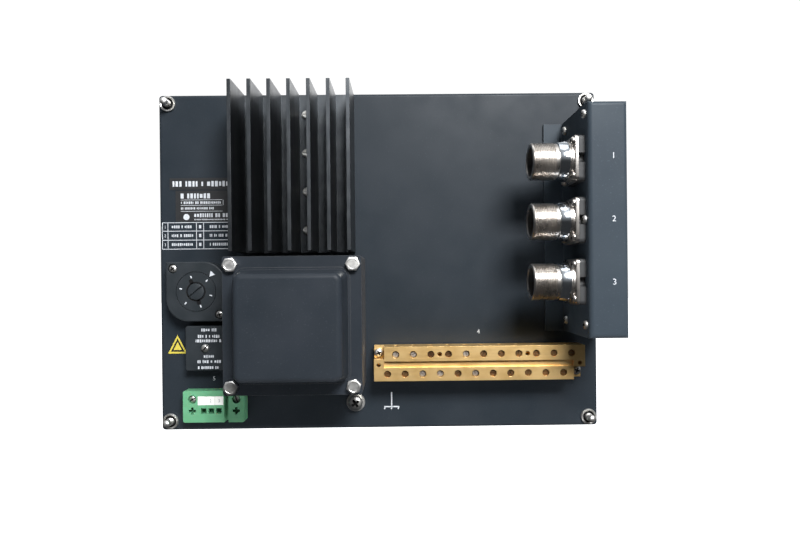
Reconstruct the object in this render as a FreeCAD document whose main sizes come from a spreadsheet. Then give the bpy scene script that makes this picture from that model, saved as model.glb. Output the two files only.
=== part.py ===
import FreeCAD, Part
import math
import os
import Sketcher

# Rear half of a panel-mounted machine controller with its own supply.
# +X is to the right and +Z is up when the rear cover is faced; the rear cover looks along -Y.
# The origin is the middle of the mounting plane, the rear face of the front plate.
# "reach" is the distance behind the mounting plane, so a point at reach r lies at y = -r.

DIMENSIONS = {
    # front plate and what it carries
    "front_width": 336.0, "front_height": 260.0, "front_gauge": 4.0, "front_corner": 5.0,
    "bolt_spacing_wide": 324.0, "bolt_spacing_high": 248.0, "bolt_hole": 2.75,
    "gasket_width": 312.0, "gasket_height": 242.0, "gasket_band": 3.5, "gasket_gauge": 2.0,
    "window_mid": 48.0, "window_width": 158.0, "window_height": 104.0, "window_gauge": 2.0,
    "window_rim": 4.0, "fit_gap": 0.3,
    "display_width": 166.0, "display_height": 114.0, "display_gauge": 12.0,
    "keypad_mid": -92.0, "keypad_width": 110.0, "keypad_height": 220.0, "keypad_gauge": 0.6,
    # housing
    "panel_width": 300.0, "panel_height": 230.0, "housing_reach": 80.0, "sheet_gauge": 2.0,
    "cover_fold": 12.0, "fold_radius": 2.4, "tub_gauge": 1.5, "tub_flange": 12.0,
    "tub_corner": 1.0, "frame_screw_up": 0.75, "frame_screw_across": 0.45,
    "corner_across": 143.5, "corner_up": 108.7, "corner_block": 12.0, "corner_block_reach": 10.0,
    "stud_radius": 2.5, "stud_proud": 9.5, "stud_thread": 2.0, "stud_sunk": 8.0,
    "stud_tip": 1.2, "stud_nose": 1.5, "ferrule_sunk": 0.98,
    "cable_slot_shift": 3.0, "cable_slot_width": 8.0, "cable_slot_height": 96.0,
    "ferrule_radius": 5.35, "ferrule_bore": 2.7, "ferrule_gauge": 1.4, "ferrule_dish": 3.9,
    # boards
    "board_gauge": 1.6, "control_reach": 18.0, "control_width": 256.0, "control_height": 190.0,
    "supply_reach": 44.0, "supply_mid": -50.0, "supply_width": 236.0, "supply_height": 84.0,
    "spacer_radius": 2.4, "spacer_bore": 1.6, "screw_radius": 1.5,
    "board_inset": 6.0, "chip_first": -78.0, "chip_column": 34.0, "chip_low": 20.0, "chip_row": 40.0,
    "chip_width": 24.0, "chip_height": 12.0, "chip_gauge": 3.0, "processor_across": 88.0,
    "processor_up": 40.0, "processor_side": 32.0, "processor_gauge": 4.0, "battery_up": -2.0,
    "battery_side": 24.0, "battery_gauge": 6.0, "can_first": 18.0, "can_pitch": 28.0,
    "can_shift": 18.0, "can_radius": 11.0, "can_rise": 28.0, "small_can_first": 12.0,
    "small_can_pitch": 18.0, "small_can_shift": 20.0, "small_can_radius": 6.3, "small_can_rise": 20.0,
    "head_radius": 2.8, "head_rise": 2.0,
    # transformer
    "core_across": -51.8, "core_up": -40.3, "core_side": 85.0, "core_stack": 45.0,
    "limb_width": 29.0, "core_window": 13.5, "core_window_height": 56.0,
    "coil_width": 54.0, "coil_reach": 69.0, "coil_height": 50.0, "bobbin_wall": 1.5,
    "coil_room": 6.0, "core_corner": 1.5,
    "bell_base": 68.5, "bell_top": 63.0, "bell_rise": 19.0, "bell_gauge": 1.2,
    "bell_corner": 5.0, "bell_edge": 3.5, "bead_side": 71.0, "bead_rise": 0.9, "bead_corner": 7.0,
    "core_bolts": 74.6, "hex_flats": 8.0, "hex_rise": 3.5, "hex_bolt_radius": 2.5, "nut_rise": 4.0,
    # heat sink
    "sink_left": -92.6, "sink_right": -15.8, "sink_bottom": 5.8, "sink_length": 106.8,
    "sink_base": 5.5, "sink_rise": 40.0, "fin_first": -91.0, "fin_pitch": 12.3,
    "fin_root": 3.2, "fin_tip": 2.3,
    "transistor_across": -47.95, "transistor_low": 21.0, "transistor_pitch": 26.0,
    "transistor_width": 15.6, "transistor_height": 20.0, "transistor_gauge": 5.0,
    "transistor_room": 4.0, "sink_fixing_side": 7.5, "sink_fixing_end": 8.0, "sink_thread": 4.4,
    # voltage selector and fuse
    "selector_across": -122.2, "selector_up": -19.8, "selector_side": 40.0, "selector_rise": 10.0,
    "selector_corner": 15.0, "selector_screws": 15.5, "dial_radius": 13.1, "dial_gauge": 1.9,
    "hub_radius": 8.5, "hub_rise": 2.0, "sleeve_radius": 11.8, "sleeve_sunk": 25.0,
    "cap_radius": 5.7, "cap_proud": 0.9, "cap_gauge": 2.4, "carrier_radius": 4.0,
    "carrier_bore": 2.8, "carrier_length": 28.0, "fuse_radius": 2.6, "fuse_length": 20.0,
    "selector_edge": 0.8, "sleeve_floor": 2.0, "carrier_gap": 0.5, "carrier_floor": 3.5,
    "carrier_neck": 2.0, "carrier_sill": 4.0, "fuse_end": 5.5, "fuse_sunk": 4.7, "spigot_radius": 1.95,
    "spigot_sunk": 3.0, "cap_slot_width": 1.2, "cap_slot_sunk": 1.2, "cap_slot_over": 1.15,
    # spare fuse box
    "spare_across": -116.8, "spare_up": -58.0, "spare_width": 27.0, "spare_height": 30.0,
    "spare_rise": 8.0, "spare_wall": 1.2, "spare_seat": 3.9,
    "spare_tap": 1.4, "spare_boss": 3.2, "spare_boss_rise": 5.0, "spare_side": 7.4, "spare_edge": 0.6,
    "cradle_up": 7.0, "cradle_width": 7.0, "cradle_gauge": 1.6, "cradle_rise": 2.8, "seat_length": 28.0,
    # mains plug and header
    "plug_left": -132.0, "plug_right": -90.8, "plug_top": -86.4, "plug_bottom": -107.7,
    "plug_rise": 9.0, "plug_gap_left": -104.4, "plug_gap_right": -101.5, "plug_gap_sunk": 7.0,
    "nose_width": 37.4, "nose_height": 14.0, "nose_sunk": 12.5,
    "pole_first": -118.1, "pole_pitch": 5.08, "pole_up": -100.0, "pole_mouth": 3.6,
    "flange_screw_left": -125.8, "flange_screw_right": -96.3, "flange_screw_up": -92.3,
    "header_wall": 1.2, "header_reach": 18.0,
    "plug_corner": 1.4, "pole_sunk": 5.5, "key_arm": 2.4, "key_half": 0.9, "key_sunk": 4.0,
    "plug_head": 2.5, "plug_head_rise": 1.8, "plug_head_gap": 0.6, "plug_head_sunk": 2.5,
    "plug_shank": 1.15, "pin_side": 1.0, "pin_length": 15.0, "pin_socket": 1.7, "header_floor": 4.0,
    "clamp_head": 1.6, "clamp_head_rise": 1.4, "clamp_radius": 1.2, "clamp_length": 6.0,
    "clamp_sunk": 6.0, "clamp_down": 2.6, "clamp_bore": 9.0,
    "marker_left": -122.1, "marker_right": -104.8, "marker_bottom": -96.0, "marker_top": -90.2,
    "marker_gauge": 0.3,
    # terminal bar
    "bar_left": -3.3, "bar_right": 136.0, "bar_top": -57.3, "bar_bottom": -79.9,
    "bar_foot": 2.5, "bar_rise": 18.0, "upper_first": 11.1, "lower_first": 5.6,
    "row_pitch": 11.6, "upper_row": -62.5, "lower_row": -75.3, "row_hole": 2.3,
    "row_screw": 2.15, "wire_hole": 2.0, "wire_rise": 8.8,
    "notch_sunk": 10.5, "groove_left": 3.4, "groove_right": 128.2,
    "groove_top": -67.0, "groove_bottom": -71.0, "groove_sunk": 2.0,
    "fixing_left_in": 3.1, "fixing_left_down": 4.9, "fixing_right_in": 2.8, "fixing_right_up": 4.6,
    "notch_left": 8.2, "notch_width": 7.5, "notch_right": 8.4, "tie_hole": 1.5, "end_hole": 1.3,
    "end_hole_left": 12.0, "end_hole_right": 11.7, "end_hole_in": 3.5, "wire_sunk": 9.0,
    "grub_length": 5.6, "grub_sunk": 1.2, "grub_slot": 0.8, "grub_slot_sunk": 1.0,
    # earth screw
    "earth_across": -16.6, "earth_up": -96.8, "earth_head": 5.0, "earth_washer": 6.3,
    # connector bracket and its round sockets
    "bracket_left": 126.5, "bracket_top": 92.2, "bracket_bottom": -49.1, "bracket_rise": 58.0,
    "bracket_gauge": 2.0, "foot_left": 114.0, "bracket_fold": 2.6,
    "socket_rise": 38.0, "socket_mid": 22.2, "socket_pitch": 37.5,
    "flange_side": 28.0, "flange_corner": 2.6, "flange_gauge": 2.0, "flange_screws": 21.0,
    "collar_gauge": 4.0, "tail_proud": 4.0,
    "barrel_radius": 11.5, "barrel_length": 16.8, "ring_length": 5.7, "ring_radius": 12.7,
    "neck_length": 2.1, "neck_radius": 13.2, "barrel_bore": 9.0, "tail_radius": 9.7,
    "insert_radius": 8.9, "insert_sunk": 5.5, "contact_radius": 0.8, "contact_bore": 0.9,
    "contact_ring": 6.7, "contact_inner_ring": 3.2,
    "contact_mouth": 0.5, "contact_sunk": 6.0,
    "wall_screw_near": 51.5, "wall_screw_far": 10.0, "wall_screw_spread": 63.6,
    "socket_board_gap": 7.5,
    # labels
    "label_gauge": 0.25, "label_left": -142.7, "label_right": -95.0,
    "strip_bottom": 49.9, "strip_top": 57.9, "nameplate_in": 4.0, "nameplate_bottom": 28.0,
    "nameplate_top": 49.2, "sign_left": -145.0, "sign_right": -131.6, "sign_bottom": -62.4,
    "sign_top": -49.3,
    # clearances shared by many holes
    "close_gap": 0.05, "thread_gap": 0.1, "drill_gap": 0.15, "wide_gap": 0.2, "right_through": 1.3,
    # screws' lengths and heads
    "front_thread": 2.8, "frame_shank": 2.4, "inner_shank": 7.0, "sink_shank": 3.6,
    "transistor_shank": 2.0, "spare_shank": 6.5, "socket_head": 2.7, "socket_head_rise": 2.0,
    "socket_shank": 8.6, "earth_head_rise": 3.4, "earth_shank": 12.0, "washer_gauge": 1.2,
    "spring_gauge": 1.4, "fixing_head": 3.1, "fixing_head_rise": 2.4,
}

DOC = FreeCAD.newDocument("controller")
SHEET = DOC.addObject("Spreadsheet::Sheet", "Sheet")
REARWARD = FreeCAD.Rotation(FreeCAD.Vector(1, 0, 0), 90)
FRONTWARD = FreeCAD.Rotation(FreeCAD.Vector(1, 0, 0), -90)
LEFTWARD = FreeCAD.Rotation(FreeCAD.Vector(0, 1, 0), -90)
UPWARD = FreeCAD.Rotation()


class Size:
    """A length that knows the sheet expression behind it and its present value."""

    def __init__(self, text, number):
        self.text = text
        self.number = number

    def joined(self, sign, other, number):
        return Size(f"({self.text} {sign} {other.text})", number)

    def __add__(self, other):
        other = as_size(other)
        return self.joined("+", other, self.number + other.number)

    def __sub__(self, other):
        other = as_size(other)
        return self.joined("-", other, self.number - other.number)

    def __mul__(self, other):
        other = as_size(other)
        return self.joined("*", other, self.number * other.number)

    def __truediv__(self, other):
        other = as_size(other)
        return self.joined("/", other, self.number / other.number)

    def __radd__(self, other):
        return as_size(other) + self

    def __rsub__(self, other):
        return as_size(other) - self

    def __rmul__(self, other):
        return as_size(other) * self

    def __neg__(self):
        return as_size(0) - self


class Sizes:
    """The sheet's cells by name."""

    def __getattr__(self, name):
        return Size(f"Sheet.{name}", DIMENSIONS[name])


def as_size(value):
    return value if isinstance(value, Size) else Size(f"({float(value):.6f})", float(value))


S = Sizes()


def fill_sheet():
    for row, (name, number) in enumerate(DIMENSIONS.items(), start=1):
        SHEET.set(f"A{row}", name)
        SHEET.set(f"B{row}", str(number))
        SHEET.setAlias(f"B{row}", name)
    DOC.recompute()


def bind(item, path, value):
    item.setExpression(path, as_size(value).text)


def place(item, x, y, z, turn=UPWARD):
    item.Placement = FreeCAD.Placement(FreeCAD.Vector(), turn)
    bind(item, "Placement.Base.x", x)
    bind(item, "Placement.Base.y", y)
    bind(item, "Placement.Base.z", z)
    return item


# Plain solids and booleans

def block(name, x, z, width, height, start, length):
    """A box about (x, z), from reach start to start + length."""
    item = DOC.addObject("Part::Box", name)
    bind(item, "Length", width)
    bind(item, "Width", length)
    bind(item, "Height", height)
    return place(item, x - as_size(width) / 2, -(as_size(start) + length), z - as_size(height) / 2)


def span(name, left, right, bottom, top, start, length):
    """The same box, given by its sides."""
    left, right, bottom, top = map(as_size, (left, right, bottom, top))
    return block(name, (left + right) / 2, (bottom + top) / 2, right - left, top - bottom, start, length)


def cylinder(name, radius, length, x=0, y=0, z=0, turn=UPWARD):
    item = DOC.addObject("Part::Cylinder", name)
    bind(item, "Radius", radius)
    bind(item, "Height", length)
    return place(item, x, y, z, turn)


def cone(name, radius, end_radius, length, x=0, y=0, z=0, turn=UPWARD):
    item = DOC.addObject("Part::Cone", name)
    bind(item, "Radius1", radius)
    bind(item, "Radius2", end_radius)
    bind(item, "Height", length)
    return place(item, x, y, z, turn)


def rod(name, x, z, radius, start, length):
    """A cylinder along the reach."""
    return cylinder(name, radius, length, x, -as_size(start), z, REARWARD)


def hexagon(name, flats, length, x=0, y=0, z=0, turn=UPWARD):
    item = DOC.addObject("Part::Prism", name)
    item.Polygon = 6
    bind(item, "Circumradius", as_size(flats) / math.sqrt(3))
    bind(item, "Height", length)
    return place(item, x, y, z, turn)


def fuse(name, parts):
    item = DOC.addObject("Part::MultiFuse", name)
    item.Shapes = parts
    return item


def cut(name, base, tools):
    item = DOC.addObject("Part::Cut", name)
    item.Base = base
    item.Tool = tools[0] if len(tools) == 1 else fuse(f"{name}_holes", tools)
    return item


def compound(name, parts):
    item = DOC.addObject("Part::Compound", name)
    item.Links = parts
    return item


def copies(name, master, places, turn):
    """One group of separate solids: a copy of the master at every place."""
    links = []
    for number, (x, y, z) in enumerate(places, start=1):
        link = DOC.addObject("App::Link", f"{name}_{number}")
        link.LinkedObject = master
        links.append(place(link, x, y, z, turn))
    return compound(name, links)


def slotted_screw(name, head_radius, head_rise, radius, length, slot=0.9):
    """A screw along Z: its head stands on z = 0 and its shank hangs below."""
    low = cylinder(f"{name}_rim", head_radius, as_size(head_rise) * 0.55)
    crown = cone(f"{name}_crown", head_radius, as_size(head_radius) * 0.72, as_size(head_rise) * 0.45,
                 z=as_size(head_rise) * 0.55)
    shank = cylinder(f"{name}_shank", radius, length, z=-as_size(length))
    slot_cut = DOC.addObject("Part::Box", f"{name}_slot")
    bind(slot_cut, "Length", as_size(head_radius) * 2.4)
    bind(slot_cut, "Width", slot)
    bind(slot_cut, "Height", head_rise)
    place(slot_cut, as_size(head_radius) * -1.2, -as_size(slot) / 2, as_size(head_rise) * 0.5)
    return cut(f"{name}_screw", fuse(f"{name}_solid", [low, crown, shank]), [slot_cut])


# Sketched bodies

def new_body(name):
    body = DOC.addObject("PartDesign::Body", name)
    DOC.recompute()
    return body


def new_sketch(body, role, offset):
    plane = [item for item in body.Origin.OriginFeatures if item.Role == role][0]
    sketch = body.newObject("Sketcher::SketchObject", "Sketch")
    sketch.AttachmentSupport = [(plane, "")]
    sketch.MapMode = "FlatFace"
    bind(sketch, "AttachmentOffset.Base.z", offset)
    return sketch


def pin_point(sketch, item, point, across, up):
    """Ties one sketch point to the sketch's own axes by two driven distances."""
    for kind, axis, value in (("DistanceX", -2, across), ("DistanceY", -1, up)):
        value = as_size(value)
        if value.number == 0:
            sketch.addConstraint(Sketcher.Constraint("PointOnObject", item, point, axis))
            continue
        key = sketch.addConstraint(Sketcher.Constraint(kind, -1, 1, item, point, value.number))
        bind(sketch, f"Constraints[{key}]", value)


def draw_outline(sketch, points):
    points = [(as_size(across), as_size(up)) for across, up in points]
    first = sketch.GeometryCount
    spots = [FreeCAD.Vector(across.number, up.number, 0) for across, up in points]
    for start, end in zip(spots, spots[1:] + spots[:1]):
        sketch.addGeometry(Part.LineSegment(start, end))
    for number, (across, up) in enumerate(points):
        following = first + (number + 1) % len(points)
        sketch.addConstraint(Sketcher.Constraint("Coincident", first + number, 2, following, 1))
        pin_point(sketch, first + number, 1, across, up)


def draw_sides(sketch, left, right, bottom, top):
    draw_outline(sketch, [(left, bottom), (right, bottom), (right, top), (left, top)])


def draw_rectangle(sketch, across, up, width, height):
    across, up, width, height = map(as_size, (across, up, width, height))
    draw_sides(sketch, across - width / 2, across + width / 2, up - height / 2, up + height / 2)


def draw_circle(sketch, across, up, radius):
    across, up, radius = map(as_size, (across, up, radius))
    middle = FreeCAD.Vector(across.number, up.number, 0)
    item = sketch.addGeometry(Part.Circle(middle, FreeCAD.Vector(0, 0, 1), radius.number))
    key = sketch.addConstraint(Sketcher.Constraint("Radius", item, radius.number))
    bind(sketch, f"Constraints[{key}]", radius)
    pin_point(sketch, item, 3, across, up)


def pad(body, sketch, length):
    item = body.newObject("PartDesign::Pad", "Pad")
    item.Profile = sketch
    bind(item, "Length", length)
    DOC.recompute()
    return item


def pocket(body, sketch, length, reverse=False):
    """Cuts the sketch into the body, and stops if nothing was cut."""
    before = body.Shape.Volume
    item = body.newObject("PartDesign::Pocket", "Pocket")
    item.Profile = sketch
    item.Reversed = reverse
    bind(item, "Length", length)
    DOC.recompute()
    if body.Shape.Volume >= before:
        raise RuntimeError(f"a pocket of {body.Name} cuts nothing")
    return item


def round_edges(body, radius, chosen):
    base = body.Tip
    names = [f"Edge{number}" for number, edge in enumerate(base.Shape.Edges, start=1) if chosen(edge)]
    item = body.newObject("PartDesign::Fillet", "Fillet")
    item.Base = (base, names)
    bind(item, "Radius", radius)
    DOC.recompute()
    return item


def runs_along(edge, axis):
    if edge.Curve.TypeId != "Part::GeomLine":
        return False
    return abs(abs(edge.Curve.Direction.dot(axis)) - 1) < 1e-6


def along_reach(edge):
    return runs_along(edge, FreeCAD.Vector(0, 1, 0))


def lies_at_reach(edge, reach):
    reach = as_size(reach).number
    return all(abs(vertex.Point.y + reach) < 1e-6 for vertex in edge.Vertexes)


def corners(across, up):
    return [(x, z) for x in (-across, across) for z in (-up, up)]


# Front plate group

def front_plate():
    body = new_body("front_plate")
    sketch = new_sketch(body, "XZ_Plane", -S.front_gauge)
    draw_rectangle(sketch, 0, 0, S.front_width, S.front_height)
    pad(body, sketch, S.front_gauge)
    round_edges(body, S.front_corner, along_reach)
    openings = new_sketch(body, "XZ_Plane", 0)
    rim = S.window_rim * 2
    draw_rectangle(openings, S.window_mid, 0, S.window_width - rim, S.window_height - rim)
    for x, z in corners(S.bolt_spacing_wide / 2, S.bolt_spacing_high / 2):
        draw_circle(openings, x, z, S.bolt_hole)
    pocket(body, openings, S.front_gauge)
    rebate = new_sketch(body, "XZ_Plane", -S.front_gauge)
    draw_rectangle(rebate, S.window_mid, 0, S.window_width, S.window_height)
    pocket(body, rebate, S.window_gauge, reverse=True)
    groove = new_sketch(body, "XZ_Plane", 0)
    draw_rectangle(groove, 0, 0, S.gasket_width, S.gasket_height)
    draw_rectangle(groove, 0, 0, S.gasket_width - S.gasket_band * 2, S.gasket_height - S.gasket_band * 2)
    pocket(body, groove, S.gasket_gauge)
    threads = new_sketch(body, "XZ_Plane", 0)
    for x, z in frame_screw_places() + board_corners():
        draw_circle(threads, x, z, S.spacer_bore)
    pocket(body, threads, S.front_thread)
    return body


def front_gasket():
    outer = block("gasket_outer", 0, 0, S.gasket_width, S.gasket_height, -S.gasket_gauge, S.gasket_gauge)
    inner = block("gasket_inner", 0, 0, S.gasket_width - S.gasket_band * 2,
                  S.gasket_height - S.gasket_band * 2, -S.gasket_gauge, S.gasket_gauge)
    return cut("front_gasket", outer, [inner])


def display_window():
    return block("display_window", S.window_mid, 0, S.window_width - S.fit_gap, S.window_height - S.fit_gap,
                 -S.front_gauge, S.window_gauge)


def display_module():
    case = block("display_case", S.window_mid, 0, S.display_width, S.display_height, 0, S.display_gauge)
    recess = block("display_recess", S.window_mid, 0, S.window_width - S.window_rim,
                   S.window_height - S.window_rim, 0, 1.0)
    return cut("display_module", case, [recess])


def keypad_foil():
    body = new_body("keypad_foil")
    sketch = new_sketch(body, "XZ_Plane", -(S.front_gauge + S.keypad_gauge))
    draw_rectangle(sketch, S.keypad_mid, 0, S.keypad_width, S.keypad_height)
    pad(body, sketch, S.keypad_gauge)
    round_edges(body, S.front_corner, along_reach)
    return body


# Housing

def tub_width():
    return S.panel_width - S.sheet_gauge * 2 - S.fit_gap * 2


def tub_height():
    return S.panel_height - S.sheet_gauge * 2 - S.fit_gap * 2


def frame_screw_places():
    side = tub_width() / 2 - S.tub_flange / 2
    end = tub_height() / 2 - S.tub_flange / 2
    return corners(side, end * S.frame_screw_up) + corners(side * S.frame_screw_across, end)


def housing_tub():
    length = S.housing_reach - S.sheet_gauge
    body = new_body("housing_tub")
    sketch = new_sketch(body, "XZ_Plane", 0)
    draw_rectangle(sketch, 0, 0, tub_width(), tub_height())
    pad(body, sketch, length)
    round_edges(body, S.tub_corner, along_reach)
    inside = new_sketch(body, "XZ_Plane", length)
    draw_rectangle(inside, 0, 0, tub_width() - S.tub_gauge * 2, tub_height() - S.tub_gauge * 2)
    pocket(body, inside, length - S.tub_gauge)
    opening = new_sketch(body, "XZ_Plane", S.tub_gauge)
    draw_rectangle(opening, 0, 0, tub_width() - S.tub_flange * 2, tub_height() - S.tub_flange * 2)
    for x, z in frame_screw_places():
        draw_circle(opening, x, z, S.spacer_bore)
    pocket(body, opening, S.tub_gauge)
    return body


def corner_blocks():
    start = S.housing_reach - S.sheet_gauge - S.corner_block_reach
    blocks = []
    for x, z in ((-1, -1), (-1, 1), (1, -1), (1, 1)):
        across = (tub_width() / 2 - S.tub_gauge - S.corner_block / 2) * x
        up = (tub_height() / 2 - S.tub_gauge - S.corner_block / 2) * z
        solid = block("corner_solid", across, up, S.corner_block, S.corner_block, start, S.corner_block_reach)
        hole = rod("corner_thread", S.corner_across * x, S.corner_up * z, S.stud_thread + S.close_gap,
                   start, S.corner_block_reach)
        blocks.append(cut("corner_piece", solid, [hole]))
    return compound("corner_blocks", blocks)


def rear_cover():
    body = new_body("rear_cover")
    sketch = new_sketch(body, "XZ_Plane", S.housing_reach - S.cover_fold)
    draw_rectangle(sketch, 0, 0, S.panel_width, S.panel_height)
    pad(body, sketch, S.cover_fold)
    round_edges(body, S.fold_radius, along_reach)
    round_edges(body, S.fold_radius, lambda edge: lies_at_reach(edge, S.housing_reach))
    inside = new_sketch(body, "XZ_Plane", S.housing_reach - S.cover_fold)
    draw_rectangle(inside, 0, 0, S.panel_width - S.sheet_gauge * 2, S.panel_height - S.sheet_gauge * 2)
    pocket(body, inside, S.cover_fold - S.sheet_gauge, reverse=True)
    openings = new_sketch(body, "XZ_Plane", S.housing_reach)
    for x, z in corners(S.corner_across, S.corner_up):
        draw_circle(openings, x, z, S.stud_thread + S.thread_gap)
    draw_rectangle(openings, S.core_across, S.core_up, S.coil_width + S.coil_room, S.coil_width + S.coil_room)
    for x, z in core_bolt_places():
        draw_circle(openings, x, z, S.hex_bolt_radius + S.drill_gap)
    draw_rectangle(openings, S.transistor_across, transistor_middle(), S.transistor_width + S.transistor_room,
                   S.transistor_pitch * 3 + S.transistor_height + S.transistor_room)
    for x, z in sink_fixing_places():
        draw_circle(openings, x, z, S.screw_radius + S.drill_gap)
    draw_circle(openings, S.selector_across, S.selector_up, S.sleeve_radius + S.wide_gap)
    for x, z in selector_screw_places():
        draw_circle(openings, x, z, S.screw_radius + S.drill_gap)
    draw_rectangle(openings, plug_middle(), plug_height_middle(), header_width() + S.fit_gap,
                   header_height() + S.fit_gap)
    for x, z in bar_fixing_places():
        draw_circle(openings, x, z, S.screw_radius + S.drill_gap)
    draw_circle(openings, S.earth_across, S.earth_up, S.hex_bolt_radius + S.drill_gap)
    across = (S.bracket_left + S.panel_width / 2) / 2 + S.cable_slot_shift
    draw_rectangle(openings, across, S.socket_mid, S.cable_slot_width, S.cable_slot_height)
    draw_circle(openings, S.spare_across, S.spare_up, S.spare_tap)
    pocket(body, openings, S.sheet_gauge)
    return body


def cover_studs():
    post = cylinder("stud_post", S.stud_radius, S.stud_proud - S.stud_tip)
    tip = cone("stud_tip", S.stud_radius, S.stud_nose, S.stud_tip, z=S.stud_proud - S.stud_tip)
    thread = cylinder("stud_thread_part", S.stud_thread, S.stud_sunk, z=-S.stud_sunk)
    stud = fuse("stud_master", [post, tip, thread])
    places = [(x, -S.housing_reach, z) for x, z in corners(S.corner_across, S.corner_up)]
    return copies("cover_studs", stud, places, REARWARD)


def cover_ferrules():
    ring = cylinder("ferrule_ring", S.ferrule_radius, S.ferrule_gauge)
    bore = cylinder("ferrule_hole", S.ferrule_bore, S.ferrule_gauge)
    dish = cone("ferrule_dish_cut", S.ferrule_bore, S.ferrule_dish, S.ferrule_sunk,
                z=S.ferrule_gauge - S.ferrule_sunk)
    master = cut("ferrule_master", ring, [bore, dish])
    places = [(x, -S.housing_reach, z) for x, z in corners(S.corner_across, S.corner_up)]
    return copies("cover_ferrules", master, places, REARWARD)


def frame_screws():
    master = slotted_screw("frame", S.head_radius, S.head_rise, S.screw_radius, S.tub_gauge + S.frame_shank)
    places = [(x, -S.tub_gauge, z) for x, z in frame_screw_places()]
    return copies("frame_screws", master, places, REARWARD)


# Boards inside

def board_corners():
    return corners(S.control_width / 2 - S.board_inset, S.control_height / 2 - S.board_inset)


def supply_corners():
    across = S.supply_width / 2 - S.board_inset
    up = S.supply_height / 2 - S.board_inset
    return [(x, S.supply_mid + z) for x, z in corners(across, up)]


def board(name, x, z, width, height, start, holes):
    plate = block(f"{name}_plate", x, z, width, height, start, S.board_gauge)
    drills = [rod(f"{name}_drill", hx, hz, S.spacer_bore, start, S.board_gauge) for hx, hz in holes]
    return cut(name, plate, drills)


def control_board():
    return board("control_board", 0, 0, S.control_width, S.control_height, S.control_reach,
                 board_corners() + supply_corners())


def control_chips():
    start = S.control_reach + S.board_gauge
    chips = []
    for column, row in [(c, r) for c in range(4) for r in range(2)]:
        x = S.chip_first + S.chip_column * column
        z = S.chip_low + S.chip_row * row
        height = S.chip_height * (1 + column % 2)
        chips.append(block("chip", x, z, S.chip_width, height, start, S.chip_gauge))
    chips.append(block("processor", S.processor_across, S.processor_up, S.processor_side, S.processor_side,
                       start, S.processor_gauge))
    chips.append(block("battery", S.processor_across, S.battery_up, S.battery_side, S.battery_side,
                       start, S.battery_gauge))
    return compound("control_chips", chips)


def supply_board():
    return board("supply_board", 0, S.supply_mid, S.supply_width, S.supply_height, S.supply_reach,
                 supply_corners())


def supply_capacitors():
    start = S.supply_reach + S.board_gauge
    cans = [rod("can", S.can_first + S.can_pitch * number, S.supply_mid + S.can_shift, S.can_radius,
                start, S.can_rise) for number in range(3)]
    level = S.supply_mid - S.small_can_shift
    cans += [rod("small_can", S.small_can_first + S.small_can_pitch * number, level,
                 S.small_can_radius, start, S.small_can_rise) for number in range(5)]
    return compound("supply_capacitors", cans)


def spacer(name, x, z, start, length):
    post = rod(f"{name}_post", x, z, S.spacer_radius, start, length)
    bore = rod(f"{name}_bore", x, z, S.spacer_bore, start, length)
    return cut(f"{name}_piece", post, [bore])


def wall_screw_places():
    """Reach and height of the screws that hold the socket board."""
    rises = (S.wall_screw_far, S.wall_screw_near)
    return [(S.housing_reach + rise, S.socket_mid + S.wall_screw_spread * step)
            for rise in rises for step in (-1, 0, 1)]


def board_spacers():
    between = S.supply_reach - S.control_reach - S.board_gauge
    parts = [spacer("front", x, z, 0, S.control_reach) for x, z in board_corners()]
    parts += [spacer("middle", x, z, S.control_reach + S.board_gauge, between) for x, z in supply_corners()]
    for reach, z in wall_screw_places():
        x = S.bracket_left + S.bracket_gauge + S.socket_board_gap
        post = cylinder("side_post", S.spacer_radius, S.socket_board_gap, x, -reach, z, LEFTWARD)
        bore = cylinder("side_bore", S.spacer_bore, S.socket_board_gap, x, -reach, z, LEFTWARD)
        parts.append(cut("side_spacer", post, [bore]))
    return compound("board_spacers", parts)


def board_screws():
    master = slotted_screw("inner", S.head_radius, S.head_rise, S.screw_radius, S.inner_shank)
    face = S.control_reach + S.board_gauge
    places = [(x, -face, z) for x, z in board_corners()]
    face = S.supply_reach + S.board_gauge
    places += [(x, -face, z) for x, z in supply_corners()]
    return copies("board_screws", master, places, REARWARD)


# Transformer

def core_bolt_places():
    half = S.core_bolts / 2
    return [(S.core_across + x, S.core_up + z) for x, z in corners(half, half)]


def transformer_core():
    body = new_body("transformer_core")
    sketch = new_sketch(body, "XZ_Plane", S.housing_reach)
    draw_rectangle(sketch, S.core_across, S.core_up, S.core_side, S.core_side)
    pad(body, sketch, S.core_stack)
    round_edges(body, S.core_corner, along_reach)
    openings = new_sketch(body, "XZ_Plane", S.housing_reach + S.core_stack)
    shift = (S.limb_width + S.core_window) / 2
    for across in (S.core_across - shift, S.core_across + shift):
        draw_rectangle(openings, across, S.core_up, S.core_window, S.core_window_height)
    for x, z in core_bolt_places():
        draw_circle(openings, x, z, S.hex_bolt_radius + S.drill_gap)
    pocket(body, openings, S.core_stack)
    return body


def coil_middle():
    return S.housing_reach + S.core_stack / 2


def around_limb(name, width, length, height):
    return block(name, S.core_across, S.core_up, width, height, coil_middle() - as_size(length) / 2, length)


def transformer_bobbin():
    wall = S.bobbin_wall
    tube = around_limb("bobbin_tube", S.limb_width + wall * 2 + S.wide_gap,
                       S.core_stack + wall * 2 + S.wide_gap, S.coil_height)
    cheeks = []
    for side in (-1, 1):
        cheek = block("bobbin_cheek", S.core_across, S.core_up + (S.coil_height + wall) * side / 2,
                      S.coil_width, wall, coil_middle() - S.coil_reach / 2, S.coil_reach)
        cheeks.append(cheek)
    bore = around_limb("bobbin_bore", S.limb_width + S.wide_gap, S.core_stack + S.wide_gap,
                       S.coil_height * S.right_through)
    return cut("transformer_bobbin", fuse("bobbin_solid", [tube] + cheeks), [bore])


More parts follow.
